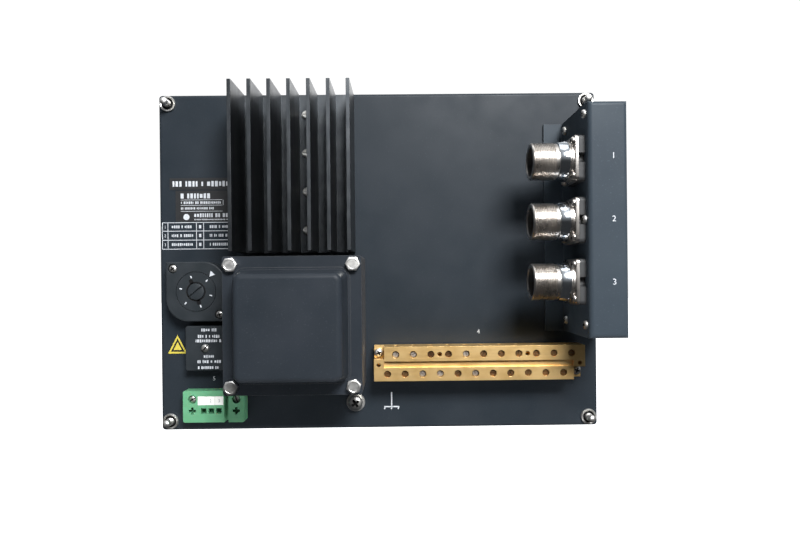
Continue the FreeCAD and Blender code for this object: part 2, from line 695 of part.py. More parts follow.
def transformer_winding():
    wall = S.bobbin_wall
    copper = around_limb("winding_solid", S.coil_width, S.coil_reach, S.coil_height)
    bore = around_limb("winding_bore", S.limb_width + wall * 2 + S.wide_gap,
                       S.core_stack + wall * 2 + S.wide_gap,
                       S.coil_height * S.right_through)
    return cut("transformer_winding", copper, [bore])


def drawn_bell(name, face, sign):
    """A drawn steel bell whose flange rests at reach face; sign +1 rises to the rear, -1 to the front."""
    body = new_body(name)
    inward = sign < 0

    def level(rise):
        return face + as_size(rise) * sign

    def square(rise, side):
        sketch = new_sketch(body, "XZ_Plane", level(rise))
        draw_rectangle(sketch, S.core_across, S.core_up, side, side)
        return sketch

    def raised(rise, side, length):
        item = pad(body, square(rise, side), length)
        item.Reversed = inward
        DOC.recompute()

    raised(0, S.core_side, S.bell_gauge)
    round_edges(body, S.core_corner, along_reach)
    shell = body.newObject("PartDesign::AdditiveLoft", "Shell")
    shell.Profile = square(S.bell_gauge, S.bell_base)
    shell.Sections = [square(S.bell_gauge + S.bell_rise, S.bell_top)]
    DOC.recompute()
    top = level(S.bell_gauge + S.bell_rise)
    low = level(S.bell_gauge)
    round_edges(body, S.bell_corner, lambda edge: is_slanted(edge, low, top))
    round_edges(body, S.bell_edge, lambda edge: lies_at_reach(edge, top))
    raised(S.bell_gauge, S.bead_side, S.bead_rise)
    outside = (S.core_across + S.bead_side / 2).number
    inside = (S.core_across - S.bead_side / 2).number
    round_edges(body, S.bead_corner, lambda edge: along_reach(edge) and
                min(abs(edge.Vertexes[0].Point.x - side) for side in (inside, outside)) < 1e-6)
    hollow = body.newObject("PartDesign::SubtractiveLoft", "Hollow")
    hollow.Profile = square(0, S.bell_base - S.bell_gauge * 2)
    hollow.Sections = [square(S.bell_rise, S.bell_top - S.bell_gauge * 3)]
    DOC.recompute()
    holes = new_sketch(body, "XZ_Plane", level(0))
    for x, z in core_bolt_places():
        draw_circle(holes, x, z, S.hex_bolt_radius + S.drill_gap)
    pocket(body, holes, S.bell_gauge, reverse=not inward)
    return body


def is_slanted(edge, low, top):
    """True for the four sloping corner edges between two reaches."""
    reaches = sorted(-vertex.Point.y for vertex in edge.Vertexes)
    ends = sorted((low.number, top.number))
    return len(reaches) == 2 and all(abs(a - b) < 1e-6 for a, b in zip(reaches, ends))


def transformer_cap():
    return drawn_bell("transformer_cap", S.housing_reach + S.core_stack, 1)


def transformer_bell():
    return drawn_bell("transformer_bell", S.housing_reach - S.sheet_gauge, -1)


def transformer_bolts():
    grip = S.core_stack + S.bell_gauge * 2 + S.sheet_gauge + S.nut_rise
    head = hexagon("hex_head", S.hex_flats, S.hex_rise)
    shank = cylinder("hex_shank", S.hex_bolt_radius, grip + 2, z=-(grip + 2))
    master = fuse("hex_bolt", [head, shank])
    face = S.housing_reach + S.core_stack + S.bell_gauge
    return copies("transformer_bolts", master, [(x, -face, z) for x, z in core_bolt_places()], REARWARD)


def transformer_nuts():
    solid = hexagon("nut_solid", S.hex_flats, S.nut_rise)
    bore = cylinder("nut_bore", S.hex_bolt_radius + S.close_gap, S.nut_rise)
    master = cut("nut_master", solid, [bore])
    face = S.housing_reach - S.sheet_gauge - S.bell_gauge
    return copies("transformer_nuts", master, [(x, -face, z) for x, z in core_bolt_places()], FRONTWARD)


# Heat sink

def transistor_middle():
    return S.transistor_low + S.transistor_pitch * 1.5


def transistor_places():
    return [(S.transistor_across, S.transistor_low + S.transistor_pitch * number) for number in range(4)]


def sink_fixing_places():
    return [(x, z) for x in (S.sink_left + S.sink_fixing_side, S.sink_right - S.sink_fixing_side)
            for z in (S.sink_bottom + S.sink_fixing_end, S.sink_bottom + S.sink_length - S.sink_fixing_end)]


def heat_sink():
    body = new_body("heat_sink")
    sketch = new_sketch(body, "XY_Plane", S.sink_bottom)
    face = S.housing_reach
    points = [(S.sink_left, -face), (S.sink_left, -(face + S.sink_base))]
    for number in range(7):
        middle = S.fin_first + S.fin_pitch * number
        for half, rise in ((-S.fin_root / 2, S.sink_base), (-S.fin_tip / 2, S.sink_rise),
                           (S.fin_tip / 2, S.sink_rise), (S.fin_root / 2, S.sink_base)):
            points.append((middle + half, -(face + rise)))
    if abs(points[2][0].number - S.sink_left.number) < 1e-6:
        points.pop(2)
    points += [(S.sink_right, -(face + S.sink_base)), (S.sink_right, -face)]
    draw_outline(sketch, points)
    pad(body, sketch, S.sink_length)
    threads = new_sketch(body, "XZ_Plane", face)
    for x, z in sink_fixing_places():
        draw_circle(threads, x, z, S.screw_radius + S.thread_gap)
    pocket(body, threads, S.sink_thread, reverse=True)
    holes = new_sketch(body, "XZ_Plane", face)
    for x, z in transistor_places():
        draw_circle(holes, x, z, S.screw_radius + S.thread_gap)
    pocket(body, holes, S.sink_base, reverse=True)
    return body


def heat_sink_screws():
    inner = slotted_screw("sink", S.head_radius, S.head_rise, S.screw_radius, S.sheet_gauge + S.sink_shank)
    outer = slotted_screw("transistor", S.head_radius, S.head_rise, S.screw_radius,
                          S.sink_base + S.transistor_gauge + S.transistor_shank)
    inside = copies("sink_fixings", inner, [(x, -(S.housing_reach - S.sheet_gauge), z)
                                            for x, z in sink_fixing_places()], FRONTWARD)
    outside = copies("transistor_fixings", outer, [(x, -(S.housing_reach + S.sink_base), z)
                                                   for x, z in transistor_places()], REARWARD)
    return compound("heat_sink_screws", [inside, outside])


def power_transistors():
    pieces = []
    start = S.housing_reach - S.transistor_gauge
    for x, z in transistor_places():
        solid = block("transistor_solid", x, z, S.transistor_width, S.transistor_height, start,
                      S.transistor_gauge)
        hole = rod("transistor_hole", x, z, S.spacer_bore, start, S.transistor_gauge)
        pieces.append(cut("transistor_piece", solid, [hole]))
    return compound("power_transistors", pieces)


# Voltage selector with its fuse

def selector_screw_places():
    shift = S.selector_screws
    return [(S.selector_across - shift, S.selector_up + shift),
            (S.selector_across + shift, S.selector_up - shift)]


def selector_body():
    body = new_body("selector_body")
    face = S.housing_reach
    x, z = S.selector_across, S.selector_up
    sketch = new_sketch(body, "XZ_Plane", face)
    draw_rectangle(sketch, x, z, S.selector_side, S.selector_side)
    pad(body, sketch, S.selector_rise)

    def is_large_corner(edge):
        if not along_reach(edge):
            return False
        point = edge.Vertexes[0].Point
        return (point.x - x.number) * (point.z - z.number) > 0

    round_edges(body, S.selector_corner, is_large_corner)
    round_edges(body, S.selector_edge, lambda edge: lies_at_reach(edge, face + S.selector_rise))
    sleeve = new_sketch(body, "XZ_Plane", face - S.sleeve_sunk)
    draw_circle(sleeve, x, z, S.sleeve_radius)
    pad(body, sleeve, S.sleeve_sunk)
    recess = new_sketch(body, "XZ_Plane", face + S.selector_rise)
    draw_circle(recess, x, z, S.dial_radius + S.fit_gap)
    pocket(body, recess, S.dial_gauge + S.fit_gap)
    bore = new_sketch(body, "XZ_Plane", face + S.selector_rise)
    draw_circle(bore, x, z, S.hub_radius + S.fit_gap)
    pocket(body, bore, S.selector_rise - S.hub_rise + S.fit_gap)
    well = new_sketch(body, "XZ_Plane", face + S.selector_rise)
    draw_circle(well, x, z, S.carrier_radius + S.carrier_gap)
    pocket(body, well, S.selector_rise + S.sleeve_sunk - S.sleeve_floor)
    screw_holes = new_sketch(body, "XZ_Plane", face + S.selector_rise)
    for hole_x, hole_z in selector_screw_places():
        draw_circle(screw_holes, hole_x, hole_z, S.head_radius + S.fit_gap)
    pocket(body, screw_holes, S.head_rise)
    shanks = new_sketch(body, "XZ_Plane", face + S.selector_rise)
    for hole_x, hole_z in selector_screw_places():
        draw_circle(shanks, hole_x, hole_z, S.screw_radius + S.drill_gap)
    pocket(body, shanks, S.selector_rise)
    return body


def selector_dial():
    body = new_body("selector_dial")
    top = S.housing_reach + S.selector_rise
    x, z = S.selector_across, S.selector_up
    disc = new_sketch(body, "XZ_Plane", top - S.dial_gauge)
    draw_circle(disc, x, z, S.dial_radius)
    pad(body, disc, S.dial_gauge)
    hub = new_sketch(body, "XZ_Plane", S.housing_reach + S.hub_rise)
    draw_circle(hub, x, z, S.hub_radius)
    pad(body, hub, S.selector_rise - S.hub_rise - S.dial_gauge)
    bore = new_sketch(body, "XZ_Plane", top)
    draw_circle(bore, x, z, S.cap_radius + S.fit_gap)
    pocket(body, bore, S.selector_rise)
    return body


def selector_screws():
    master = slotted_screw("selector_fix", S.head_radius, S.head_rise, S.screw_radius, S.selector_rise + 1)
    face = S.housing_reach + S.selector_rise - S.head_rise
    return copies("selector_screws", master, [(x, -face, z) for x, z in selector_screw_places()], REARWARD)


def fuse_cap():
    x, z = S.selector_across, S.selector_up
    low = S.housing_reach + S.selector_rise + S.cap_proud - S.cap_gauge
    disc = rod("cap_disc", x, z, S.cap_radius, low, S.cap_gauge)
    spigot = rod("cap_spigot", x, z, S.spigot_radius, low - S.spigot_sunk, S.spigot_sunk)
    slot = DOC.addObject("Part::Box", "cap_slot")
    half = S.cap_radius * S.cap_slot_over * math.sqrt(0.5)
    edge = S.cap_slot_width / 2 * math.sqrt(0.5)
    bind(slot, "Length", S.cap_radius * S.cap_slot_over * 2)
    bind(slot, "Width", S.cap_slot_width)
    bind(slot, "Height", S.cap_slot_sunk)
    tilt = REARWARD.multiply(FreeCAD.Rotation(FreeCAD.Vector(0, 0, 1), 45))
    place(slot, x - half + edge, -(low + S.cap_gauge - S.cap_slot_sunk), z - half - edge, tilt)
    return cut("fuse_cap", fuse("cap_solid", [disc, spigot]), [slot])


def fuse_carrier():
    x, z = S.selector_across, S.selector_up
    top = S.housing_reach + S.selector_rise + S.cap_proud - S.cap_gauge - S.fit_gap
    start = top - S.carrier_length
    tube = rod("carrier_tube", x, z, S.carrier_radius, start, S.carrier_length)
    bore = rod("carrier_bore_cut", x, z, S.carrier_bore, start - 1, S.carrier_length - S.carrier_floor)
    neck = rod("carrier_neck", x, z, S.carrier_neck, start, S.carrier_length)
    side = block("carrier_window", x + S.carrier_radius, z, S.carrier_radius * 2, S.carrier_bore * 1.3,
                 start + S.carrier_sill, S.fuse_length - S.carrier_sill * 2)
    return cut("fuse_carrier", tube, [bore, neck, side])


def fuse_solid(name, x, z, start, turn=REARWARD):
    """A glass tube between two metal ends, along the reach."""
    glass = cylinder(f"{name}_glass", S.fuse_radius - S.fit_gap, S.fuse_length - S.fuse_end * 2,
                     x, -(as_size(start) + S.fuse_end), z, turn)
    ends = [cylinder(f"{name}_end", S.fuse_radius, S.fuse_end, x, -(as_size(start) + shift), z, turn)
            for shift in (0, S.fuse_length - S.fuse_end)]
    return [ends[0], glass, ends[1]]


def mains_fuse():
    top = S.housing_reach + S.selector_rise + S.cap_proud - S.cap_gauge - S.fit_gap
    start = top - S.fuse_sunk - S.fuse_length
    return compound("mains_fuse", fuse_solid("main", S.selector_across, S.selector_up, start))


# Spare fuse box

def spare_fuse_base():
    x, z = S.spare_across, S.spare_up
    inset = (S.spare_wall + S.fit_gap) * 2
    plate = block("spare_plate", x, z, S.spare_width - inset, S.spare_height - inset,
                  S.housing_reach, S.spare_wall)
    boss = rod("spare_boss", x, z, S.spare_boss, S.housing_reach, S.spare_boss_rise)
    cradles = [block("spare_cradle", x + S.spare_side * side, z + S.cradle_up * end, S.cradle_width,
                     S.cradle_gauge, S.housing_reach, S.cradle_rise)
               for side in (-1, 1) for end in (-1, 1)]
    seats = [cylinder("spare_seat", S.fuse_radius + S.close_gap, S.seat_length, x + S.spare_side * side,
                      -(S.housing_reach + S.spare_seat), z - S.seat_length / 2)
             for side in (-1, 1)]
    thread = rod("spare_thread", x, z, S.screw_radius + S.fit_gap, S.housing_reach - 1, S.spare_boss_rise + 3)
    return cut("spare_fuse_base", fuse("spare_solid", [plate, boss] + cradles), seats + [thread])


def spare_fuse_cover():
    body = new_body("spare_fuse_cover")
    x, z = S.spare_across, S.spare_up
    low = S.housing_reach + S.fit_gap
    sketch = new_sketch(body, "XZ_Plane", low)
    draw_rectangle(sketch, x, z, S.spare_width, S.spare_height)
    pad(body, sketch, S.spare_rise - S.fit_gap)
    round_edges(body, S.core_corner, along_reach)
    round_edges(body, S.spare_edge, lambda edge: lies_at_reach(edge, S.housing_reach + S.spare_rise))
    inside = new_sketch(body, "XZ_Plane", low)
    draw_rectangle(inside, x, z, S.spare_width - S.spare_wall * 2, S.spare_height - S.spare_wall * 2)
    pocket(body, inside, S.spare_rise - S.fit_gap - S.spare_wall, reverse=True)
    hole = new_sketch(body, "XZ_Plane", S.housing_reach + S.spare_rise)
    draw_circle(hole, x, z, S.screw_radius + S.thread_gap)
    pocket(body, hole, S.spare_wall)
    return body


def spare_fuse_screw():
    master = slotted_screw("spare_fix", S.head_radius, S.head_rise, S.screw_radius, S.spare_shank)
    face = S.housing_reach + S.spare_rise
    return copies("spare_fuse_screw", master, [(S.spare_across, -face, S.spare_up)], REARWARD)


def spare_fuses():
    pieces = []
    for side in (-1, 1):
        x = S.spare_across + side * S.spare_side
        y = -(S.housing_reach + S.spare_seat)
        low = S.spare_up - S.fuse_length / 2
        pieces.append(cylinder("spare_end", S.fuse_radius, S.fuse_end, x, y, low))
        pieces.append(cylinder("spare_glass", S.fuse_radius - S.fit_gap, S.fuse_length - S.fuse_end * 2,
                               x, y, low + S.fuse_end))
        pieces.append(cylinder("spare_end", S.fuse_radius, S.fuse_end,
                               x, y, low + S.fuse_length - S.fuse_end))
    return compound("spare_fuses", pieces)


# Mains plug and its header

def plug_middle():
    return (S.plug_left + S.plug_right) / 2


def plug_height_middle():
    return (S.plug_top + S.plug_bottom) / 2


def header_width():
    return S.nose_width + S.fit_gap * 2 + S.header_wall * 2


def header_height():
    return S.nose_height + S.fit_gap * 2 + S.header_wall * 2


def pole_places():
    return [S.pole_first + S.pole_pitch * number for number in range(3)]


def flange_screw_places():
    return [(S.flange_screw_left, S.flange_screw_up), (S.flange_screw_right, S.flange_screw_up)]


def mains_header():
    x, z = plug_middle(), plug_height_middle()
    start = S.housing_reach - S.header_reach
    shell = block("header_shell", x, z, header_width(), header_height(), start, S.header_reach)
    mouth = block("header_mouth", x, z, S.nose_width + S.fit_gap * 2, S.nose_height + S.fit_gap * 2,
                  start + S.header_floor, S.header_reach)
    holes = [rod("header_thread", hx, hz, S.screw_radius + S.thread_gap, start - 1, S.header_floor + 2)
             for hx, hz in flange_screw_places()]
    slit = S.pin_side + S.close_gap
    slits = [block("header_slit", px, S.pole_up, slit, slit, start - 1, S.header_floor + 2)
             for px in pole_places()]
    return cut("mains_header", shell, [mouth] + holes + slits)


def mains_pins():
    start = S.housing_reach - S.header_reach - 4
    pins = [block("pin", px, S.pole_up, S.pin_side, S.pin_side, start, S.pin_length) for px in pole_places()]
    return compound("mains_pins", pins)


def mains_plug():
    face = S.housing_reach
    low = face + S.fit_gap
    top = face + S.plug_rise
    body = new_body("mains_plug")
    sketch = new_sketch(body, "XZ_Plane", low)
    draw_sides(sketch, S.plug_left, S.plug_right, S.plug_bottom, S.plug_top)
    pad(body, sketch, S.plug_rise - S.fit_gap)
    round_edges(body, S.plug_corner, along_reach)
    nose = new_sketch(body, "XZ_Plane", low - S.nose_sunk)
    draw_rectangle(nose, plug_middle(), plug_height_middle(), S.nose_width, S.nose_height)
    pad(body, nose, S.nose_sunk)
    gap = new_sketch(body, "XZ_Plane", top)
    draw_sides(gap, S.plug_gap_left, S.plug_gap_right, S.plug_bottom - 1, S.plug_top + 1)
    pocket(body, gap, S.plug_gap_sunk)
    entries = new_sketch(body, "XZ_Plane", top)
    for x in pole_places():
        draw_rectangle(entries, x, S.pole_up, S.pole_mouth, S.pole_mouth)
    pocket(body, entries, S.pole_sunk)
    keys = new_sketch(body, "XZ_Plane", top)
    for x, _ in flange_screw_places():
        draw_outline(keys, cross_points(x, S.pole_up, S.key_arm, S.key_half))
    pocket(body, keys, S.key_sunk)
    heads = new_sketch(body, "XZ_Plane", top)
    for x, z in flange_screw_places():
        draw_circle(heads, x, z, S.head_radius)
    pocket(body, heads, S.plug_head_sunk)
    shanks = new_sketch(body, "XZ_Plane", top)
    for x, z in flange_screw_places():
        draw_circle(shanks, x, z, S.plug_shank + S.thread_gap)
    pocket(body, shanks, S.plug_rise + S.nose_sunk)
    sockets = new_sketch(body, "XZ_Plane", low - S.nose_sunk)
    for x in pole_places():
        draw_rectangle(sockets, x, S.pole_up, S.pin_socket, S.pin_socket)
    pocket(body, sockets, S.pin_length, reverse=True)
    clamps = new_sketch(body, "XY_Plane", S.plug_top)
    for x in pole_places():
        draw_circle(clamps, x, -(top - S.clamp_sunk), S.clamp_head + S.thread_gap)
    pocket(body, clamps, S.clamp_bore)
    return body


def cross_points(x, z, arm, half):
    """The twelve corners of a plus sign."""
    steps = ((half, arm), (half, half), (arm, half))
    points = []
    for turn in range(4):
        cosine, sine = (1, 0, -1, 0)[turn], (0, 1, 0, -1)[turn]
        for across, up in reversed(steps):
            points.append((x + across * cosine - up * sine, z + across * sine + up * cosine))
    return points


def plug_clamps():
    master = slotted_screw("clamp", S.clamp_head, S.clamp_head_rise, S.clamp_radius, S.clamp_length, slot=0.5)
    reach = S.housing_reach + S.plug_rise - S.clamp_sunk
    places = [(x, -reach, S.plug_top - S.clamp_down) for x in pole_places()]
    return copies("plug_clamps", master, places, UPWARD)


def plug_screws():
    length = S.plug_rise + S.nose_sunk
    master = slotted_screw("plug_fix", S.plug_head, S.plug_head_rise, S.plug_shank, length, slot=0.7)
    face = S.housing_reach + S.plug_rise - S.plug_head_rise - S.plug_head_gap
    return copies("plug_screws", master, [(x, -face, z) for x, z in flange_screw_places()], REARWARD)


def plug_marker():
    return span("plug_marker", S.marker_left, S.marker_right, S.marker_bottom, S.marker_top,
                S.housing_reach + S.plug_rise, S.marker_gauge)


# Terminal bar

def bar_fixing_places():
    return [(S.bar_left + S.fixing_left_in, S.bar_top - S.fixing_left_down),
            (S.bar_right - S.fixing_right_in, S.bar_bottom + S.fixing_right_up)]


def row_places(first, level):
    return [(first + S.row_pitch * number, level) for number in range(11)]


def terminal_bar():
    face = S.housing_reach
    body = new_body("terminal_bar")
    sketch = new_sketch(body, "XZ_Plane", face + S.bar_foot)
    draw_sides(sketch, S.bar_left, S.bar_right, S.bar_bottom, S.bar_top)
    pad(body, sketch, S.bar_rise - S.bar_foot)
    top = face + S.bar_rise
    notches = new_sketch(body, "XZ_Plane", top)
    draw_sides(notches, S.bar_left - 1, S.groove_left, S.bar_top - S.notch_left, S.bar_top + 1)
    draw_sides(notches, S.bar_right - S.notch_width, S.bar_right + 1, S.bar_bottom - 1,
               S.bar_bottom + S.notch_right)
    pocket(body, notches, S.notch_sunk)
    groove = new_sketch(body, "XZ_Plane", top)
    draw_sides(groove, S.groove_left, S.groove_right, S.groove_bottom, S.groove_top)
    pocket(body, groove, S.groove_sunk)
    rows = new_sketch(body, "XZ_Plane", top)
    for x, z in row_places(S.upper_first, S.upper_row) + row_places(S.lower_first, S.lower_row):
        draw_circle(rows, x, z, S.row_hole)
    pocket(body, rows, S.bar_rise - S.wire_rise)
    small = new_sketch(body, "XZ_Plane", top)
    for number in (2, 7):
        draw_circle(small, S.upper_first + S.row_pitch * (number + 0.5), S.upper_row, S.tie_hole)
    draw_circle(small, S.bar_left + S.fixing_left_in, S.bar_top - S.end_hole_left, S.end_hole)
    draw_circle(small, S.bar_right - S.end_hole_in, S.bar_top - S.end_hole_right, S.end_hole)
    pocket(body, small, S.wire_sunk)
    fixings = new_sketch(body, "XZ_Plane", top)
    for x, z in bar_fixing_places():
        draw_circle(fixings, x, z, S.screw_radius + S.drill_gap)
    pocket(body, fixings, S.bar_rise)
    for level, first, reverse in ((S.bar_top, S.upper_first, False), (S.bar_bottom, S.lower_first, True)):
        wires = new_sketch(body, "XY_Plane", level)
        for number in range(11):
            draw_circle(wires, first + S.row_pitch * number, -(face + S.wire_rise), S.wire_hole)
        pocket(body, wires, S.wire_sunk, reverse=reverse)
    return body


def terminal_screws():
    screw = cylinder("grub", S.row_screw, S.grub_length)
    slot = DOC.addObject("Part::Box", "grub_slot")
    bind(slot, "Length", S.row_screw * 2.4)
    bind(slot, "Width", S.grub_slot)
    bind(slot, "Height", S.grub_slot_sunk + 0.2)
    place(slot, S.row_screw * -1.2, -S.grub_slot / 2, S.grub_length - S.grub_slot_sunk)
    master = cut("grub_screw", screw, [slot])
    start = S.housing_reach + S.bar_rise - S.grub_sunk - S.grub_length
    rows = row_places(S.upper_first, S.upper_row) + row_places(S.lower_first, S.lower_row)
    return copies("terminal_screws", master, [(x, -start, z) for x, z in rows], REARWARD)


def bar_fixings():
    depth = S.bar_rise - S.notch_sunk
    length = depth + S.sheet_gauge + 3
    master = slotted_screw("bar_fix", S.fixing_head, S.fixing_head_rise, S.screw_radius, length)
    face = S.housing_reach + depth
    return copies("bar_fixings", master, [(x, -face, z) for x, z in bar_fixing_places()], REARWARD)


def bar_spacers():
    pieces = []
    for x, z in bar_fixing_places():
        post = rod("foot_post", x, z, S.fixing_head, S.housing_reach, S.bar_foot)
        bore = rod("foot_bore", x, z, S.screw_radius + S.drill_gap, S.housing_reach, S.bar_foot)
        pieces.append(cut("foot_piece", post, [bore]))
    return compound("bar_spacers", pieces)


# Earth screw

def earth_screw():
    master = slotted_screw("earth", S.earth_head, S.earth_head_rise, S.hex_bolt_radius, S.earth_shank,
                           slot=1.2)
    face = S.housing_reach + S.washer_gauge + S.spring_gauge
    return copies("earth_screw", master, [(S.earth_across, -face, S.earth_up)], REARWARD)


def earth_washers():
    washers = []
    for radius, start, gauge in ((S.earth_washer, 0, S.washer_gauge),
                                 (S.earth_head, S.washer_gauge, S.spring_gauge)):
        disc = rod("washer_disc", S.earth_across, S.earth_up, radius, S.housing_reach + start, gauge)
        bore = rod("washer_bore", S.earth_across, S.earth_up, S.hex_bolt_radius + S.wide_gap,
                   S.housing_reach + start, gauge)
        washers.append(cut("washer_piece", disc, [bore]))
    return compound("earth_washers", washers)


# Connector bracket and sockets

def socket_levels():
    return [S.socket_mid + S.socket_pitch * step for step in (1, 0, -1)]


def socket_screw_places():
    half = S.flange_screws / 2
    return [(S.housing_reach + S.socket_rise + reach, level + up)
            for level in socket_levels() for reach, up in corners(half, half)]


def connector_bracket():
    face = S.housing_reach
    gauge = S.bracket_gauge
    right = S.panel_width / 2
    body = new_body("connector_bracket")
    sketch = new_sketch(body, "XZ_Plane", face)
    draw_sides(sketch, S.bracket_left, right, S.bracket_bottom, S.bracket_top)
    pad(body, sketch, S.bracket_rise)
    foot = new_sketch(body, "XZ_Plane", face)
    draw_sides(foot, S.foot_left, S.bracket_left, S.bracket_bottom, S.bracket_top)
    pad(body, foot, gauge)
    top = face + S.bracket_rise
    round_edges(body, S.bracket_fold, lambda edge: lies_at_reach(edge, top))
    inside = new_sketch(body, "XZ_Plane", face)
    draw_sides(inside, S.bracket_left + gauge, right - gauge, S.bracket_bottom + gauge, S.bracket_top - gauge)
    pocket(body, inside, S.bracket_rise - gauge, reverse=True)
    wall = new_sketch(body, "YZ_Plane", S.bracket_left)
    for level in socket_levels():
        draw_circle(wall, -(face + S.socket_rise), level, S.tail_radius + S.wide_gap)
    for reach, level in socket_screw_places() + wall_screw_places():
        draw_circle(wall, -reach, level, S.screw_radius + S.drill_gap)
    pocket(body, wall, gauge, reverse=True)
    return body


def at_sockets(name, master, x):
    y = -(S.housing_reach + S.socket_rise)
    return copies(name, master, [(x, y, level) for level in socket_levels()], LEFTWARD)


def flange_plate(name, gauge, bore):
    """A square plate along Z with a round bore, four screw holes and a notch for the wall screw's head."""
    body = new_body(name)
    sketch = new_sketch(body, "XY_Plane", 0)
    draw_rectangle(sketch, 0, 0, S.flange_side, S.flange_side)
    pad(body, sketch, gauge)
    round_edges(body, S.flange_corner, lambda edge: runs_along(edge, FreeCAD.Vector(0, 0, 1)))
    holes = new_sketch(body, "XY_Plane", gauge)
    draw_circle(holes, 0, 0, bore)
    for x, y in corners(S.flange_screws / 2, S.flange_screws / 2):
        draw_circle(holes, x, y, S.screw_radius + S.thread_gap)
    pocket(body, holes, gauge)
    notch = new_sketch(body, "XY_Plane", gauge)
    draw_circle(notch, 0, S.socket_rise - S.wall_screw_near, S.head_radius + S.drill_gap)
    pocket(body, notch, gauge)
    return body


def socket_collars():
    plate = flange_plate("collar_plate", S.collar_gauge, S.tail_radius + S.thread_gap)
    return at_sockets("socket_collars", plate, S.bracket_left)


def shell_profile(body):
    """Half section of one socket shell: radius across, distance from the flange's rear face along."""
    tail = -(S.collar_gauge + S.bracket_gauge + S.tail_proud)
    neck = S.flange_gauge
    ring = neck + S.neck_length
    barrel = ring + S.ring_length
    mouth = barrel + S.barrel_length
    points = [(S.barrel_bore, tail), (S.tail_radius, tail), (S.tail_radius, 0), (S.neck_radius, 0),
              (S.neck_radius, ring), (S.ring_radius, ring), (S.barrel_radius + 0.35, barrel),
              (S.barrel_radius, barrel), (S.barrel_radius, mouth - 0.6),
              (S.barrel_radius - 0.6, mouth), (S.barrel_bore + 0.5, mouth), (S.barrel_bore, mouth - 0.5)]
    sketch = new_sketch(body, "XZ_Plane", 0)
    draw_outline(sketch, points)
    return sketch


def socket_shell(number):
    level = socket_levels()[number - 1]
    body = new_body(f"socket_shell_{number}")
    turned = body.newObject("PartDesign::Revolution", "Turned")
    turned.Profile = shell_profile(body)
    turned.ReferenceAxis = (turned.Profile[0], ["V_Axis"])
    turned.Angle = 360
    DOC.recompute()
    sketch = new_sketch(body, "XY_Plane", 0)
    draw_rectangle(sketch, 0, 0, S.flange_side, S.flange_side)
    draw_circle(sketch, 0, 0, S.barrel_bore)
    pad(body, sketch, S.flange_gauge)
    half = S.flange_side.number / 2

    def is_flange_corner(edge):
        return runs_along(edge, FreeCAD.Vector(0, 0, 1)) and abs(abs(edge.Vertexes[0].Point.x) - half) < 1e-6

    round_edges(body, S.flange_corner, is_flange_corner)
    holes = new_sketch(body, "XY_Plane", S.flange_gauge)
    for x, y in corners(S.flange_screws / 2, S.flange_screws / 2):
        draw_circle(holes, x, y, S.screw_radius + S.thread_gap)
    pocket(body, holes, S.flange_gauge)
    heads = new_sketch(body, "XY_Plane", S.flange_gauge + S.neck_length)
    for x, y in corners(S.flange_screws / 2, S.flange_screws / 2):
        draw_circle(heads, x, y, S.head_radius + S.drill_gap)
    pocket(body, heads, S.neck_length)
    return place(body, S.bracket_left - S.collar_gauge, -(S.housing_reach + S.socket_rise), level, LEFTWARD)


def contact_spots():
    spots = [(S.contact_ring, 12), (S.contact_inner_ring, 5)]
    return [(radius * math.cos(2 * math.pi * step / count), radius * math.sin(2 * math.pi * step / count))
            for radius, count in spots for step in range(count)]


def insert_top():
    """Distance of the insert's face from the flange's rear face."""
    return S.flange_gauge + S.neck_length + S.ring_length + S.barrel_length - S.insert_sunk


def socket_inserts():
    body = new_body("insert_master")
    low = -(S.collar_gauge + S.bracket_gauge)
    sketch = new_sketch(body, "XY_Plane", low)
    draw_circle(sketch, 0, 0, S.insert_radius)
    for x, y in contact_spots():
        draw_circle(sketch, x, y, S.contact_bore)
    pad(body, sketch, insert_top() - low)
    return at_sockets("socket_inserts", body, S.bracket_left - S.collar_gauge)


def socket_contacts():
    tail = S.collar_gauge + S.bracket_gauge + S.socket_board_gap
    length = tail + insert_top() - 0.6
    pin = cylinder("contact_pin", S.contact_radius, length, z=-tail)
    mouth = cylinder("contact_mouth", S.contact_mouth, S.contact_sunk,
                     z=insert_top() - S.contact_sunk)
    master = cut("contact_master", pin, [mouth])
    y = -(S.housing_reach + S.socket_rise)
    x = S.bracket_left - S.collar_gauge
    places = [(x, y + across, level + up) for level in socket_levels() for up, across in contact_spots()]
    return copies("socket_contacts", master, places, LEFTWARD)


def socket_screws():
    master = slotted_screw("socket_fix", S.socket_head, S.socket_head_rise, S.screw_radius,
                           S.socket_shank, slot=0.8)
    x = S.bracket_left - S.collar_gauge - S.flange_gauge
    places = [(x, -reach, level) for reach, level in socket_screw_places()]
    return copies("socket_screws", master, places, LEFTWARD)


def socket_board():
    x = S.bracket_left + S.bracket_gauge + S.socket_board_gap
    height = S.bracket_top - S.bracket_bottom - S.bracket_gauge * 2 - 3
    plate = DOC.addObject("Part::Box", "socket_board_plate")
    bind(plate, "Length", S.board_gauge)
    bind(plate, "Width", S.bracket_rise - 7)
    bind(plate, "Height", height)
    place(plate, x, -(S.housing_reach + S.bracket_rise - S.bracket_gauge - S.fit_gap),
          (S.bracket_top + S.bracket_bottom - height) / 2)
    drills = [cylinder("socket_board_drill", S.spacer_bore, S.board_gauge,
                       x + S.board_gauge, -reach, level, LEFTWARD)
              for reach, level in wall_screw_places()]
    return cut("socket_board", plate, drills)


def bracket_screws():
    master = slotted_screw("bracket_fix", S.head_radius, S.head_rise, S.screw_radius,
                           S.bracket_gauge + S.socket_board_gap + S.board_gauge)
    places = [(S.bracket_left, -reach, level) for reach, level in wall_screw_places()]
    return copies("bracket_screws", master, places, LEFTWARD)


# Labels

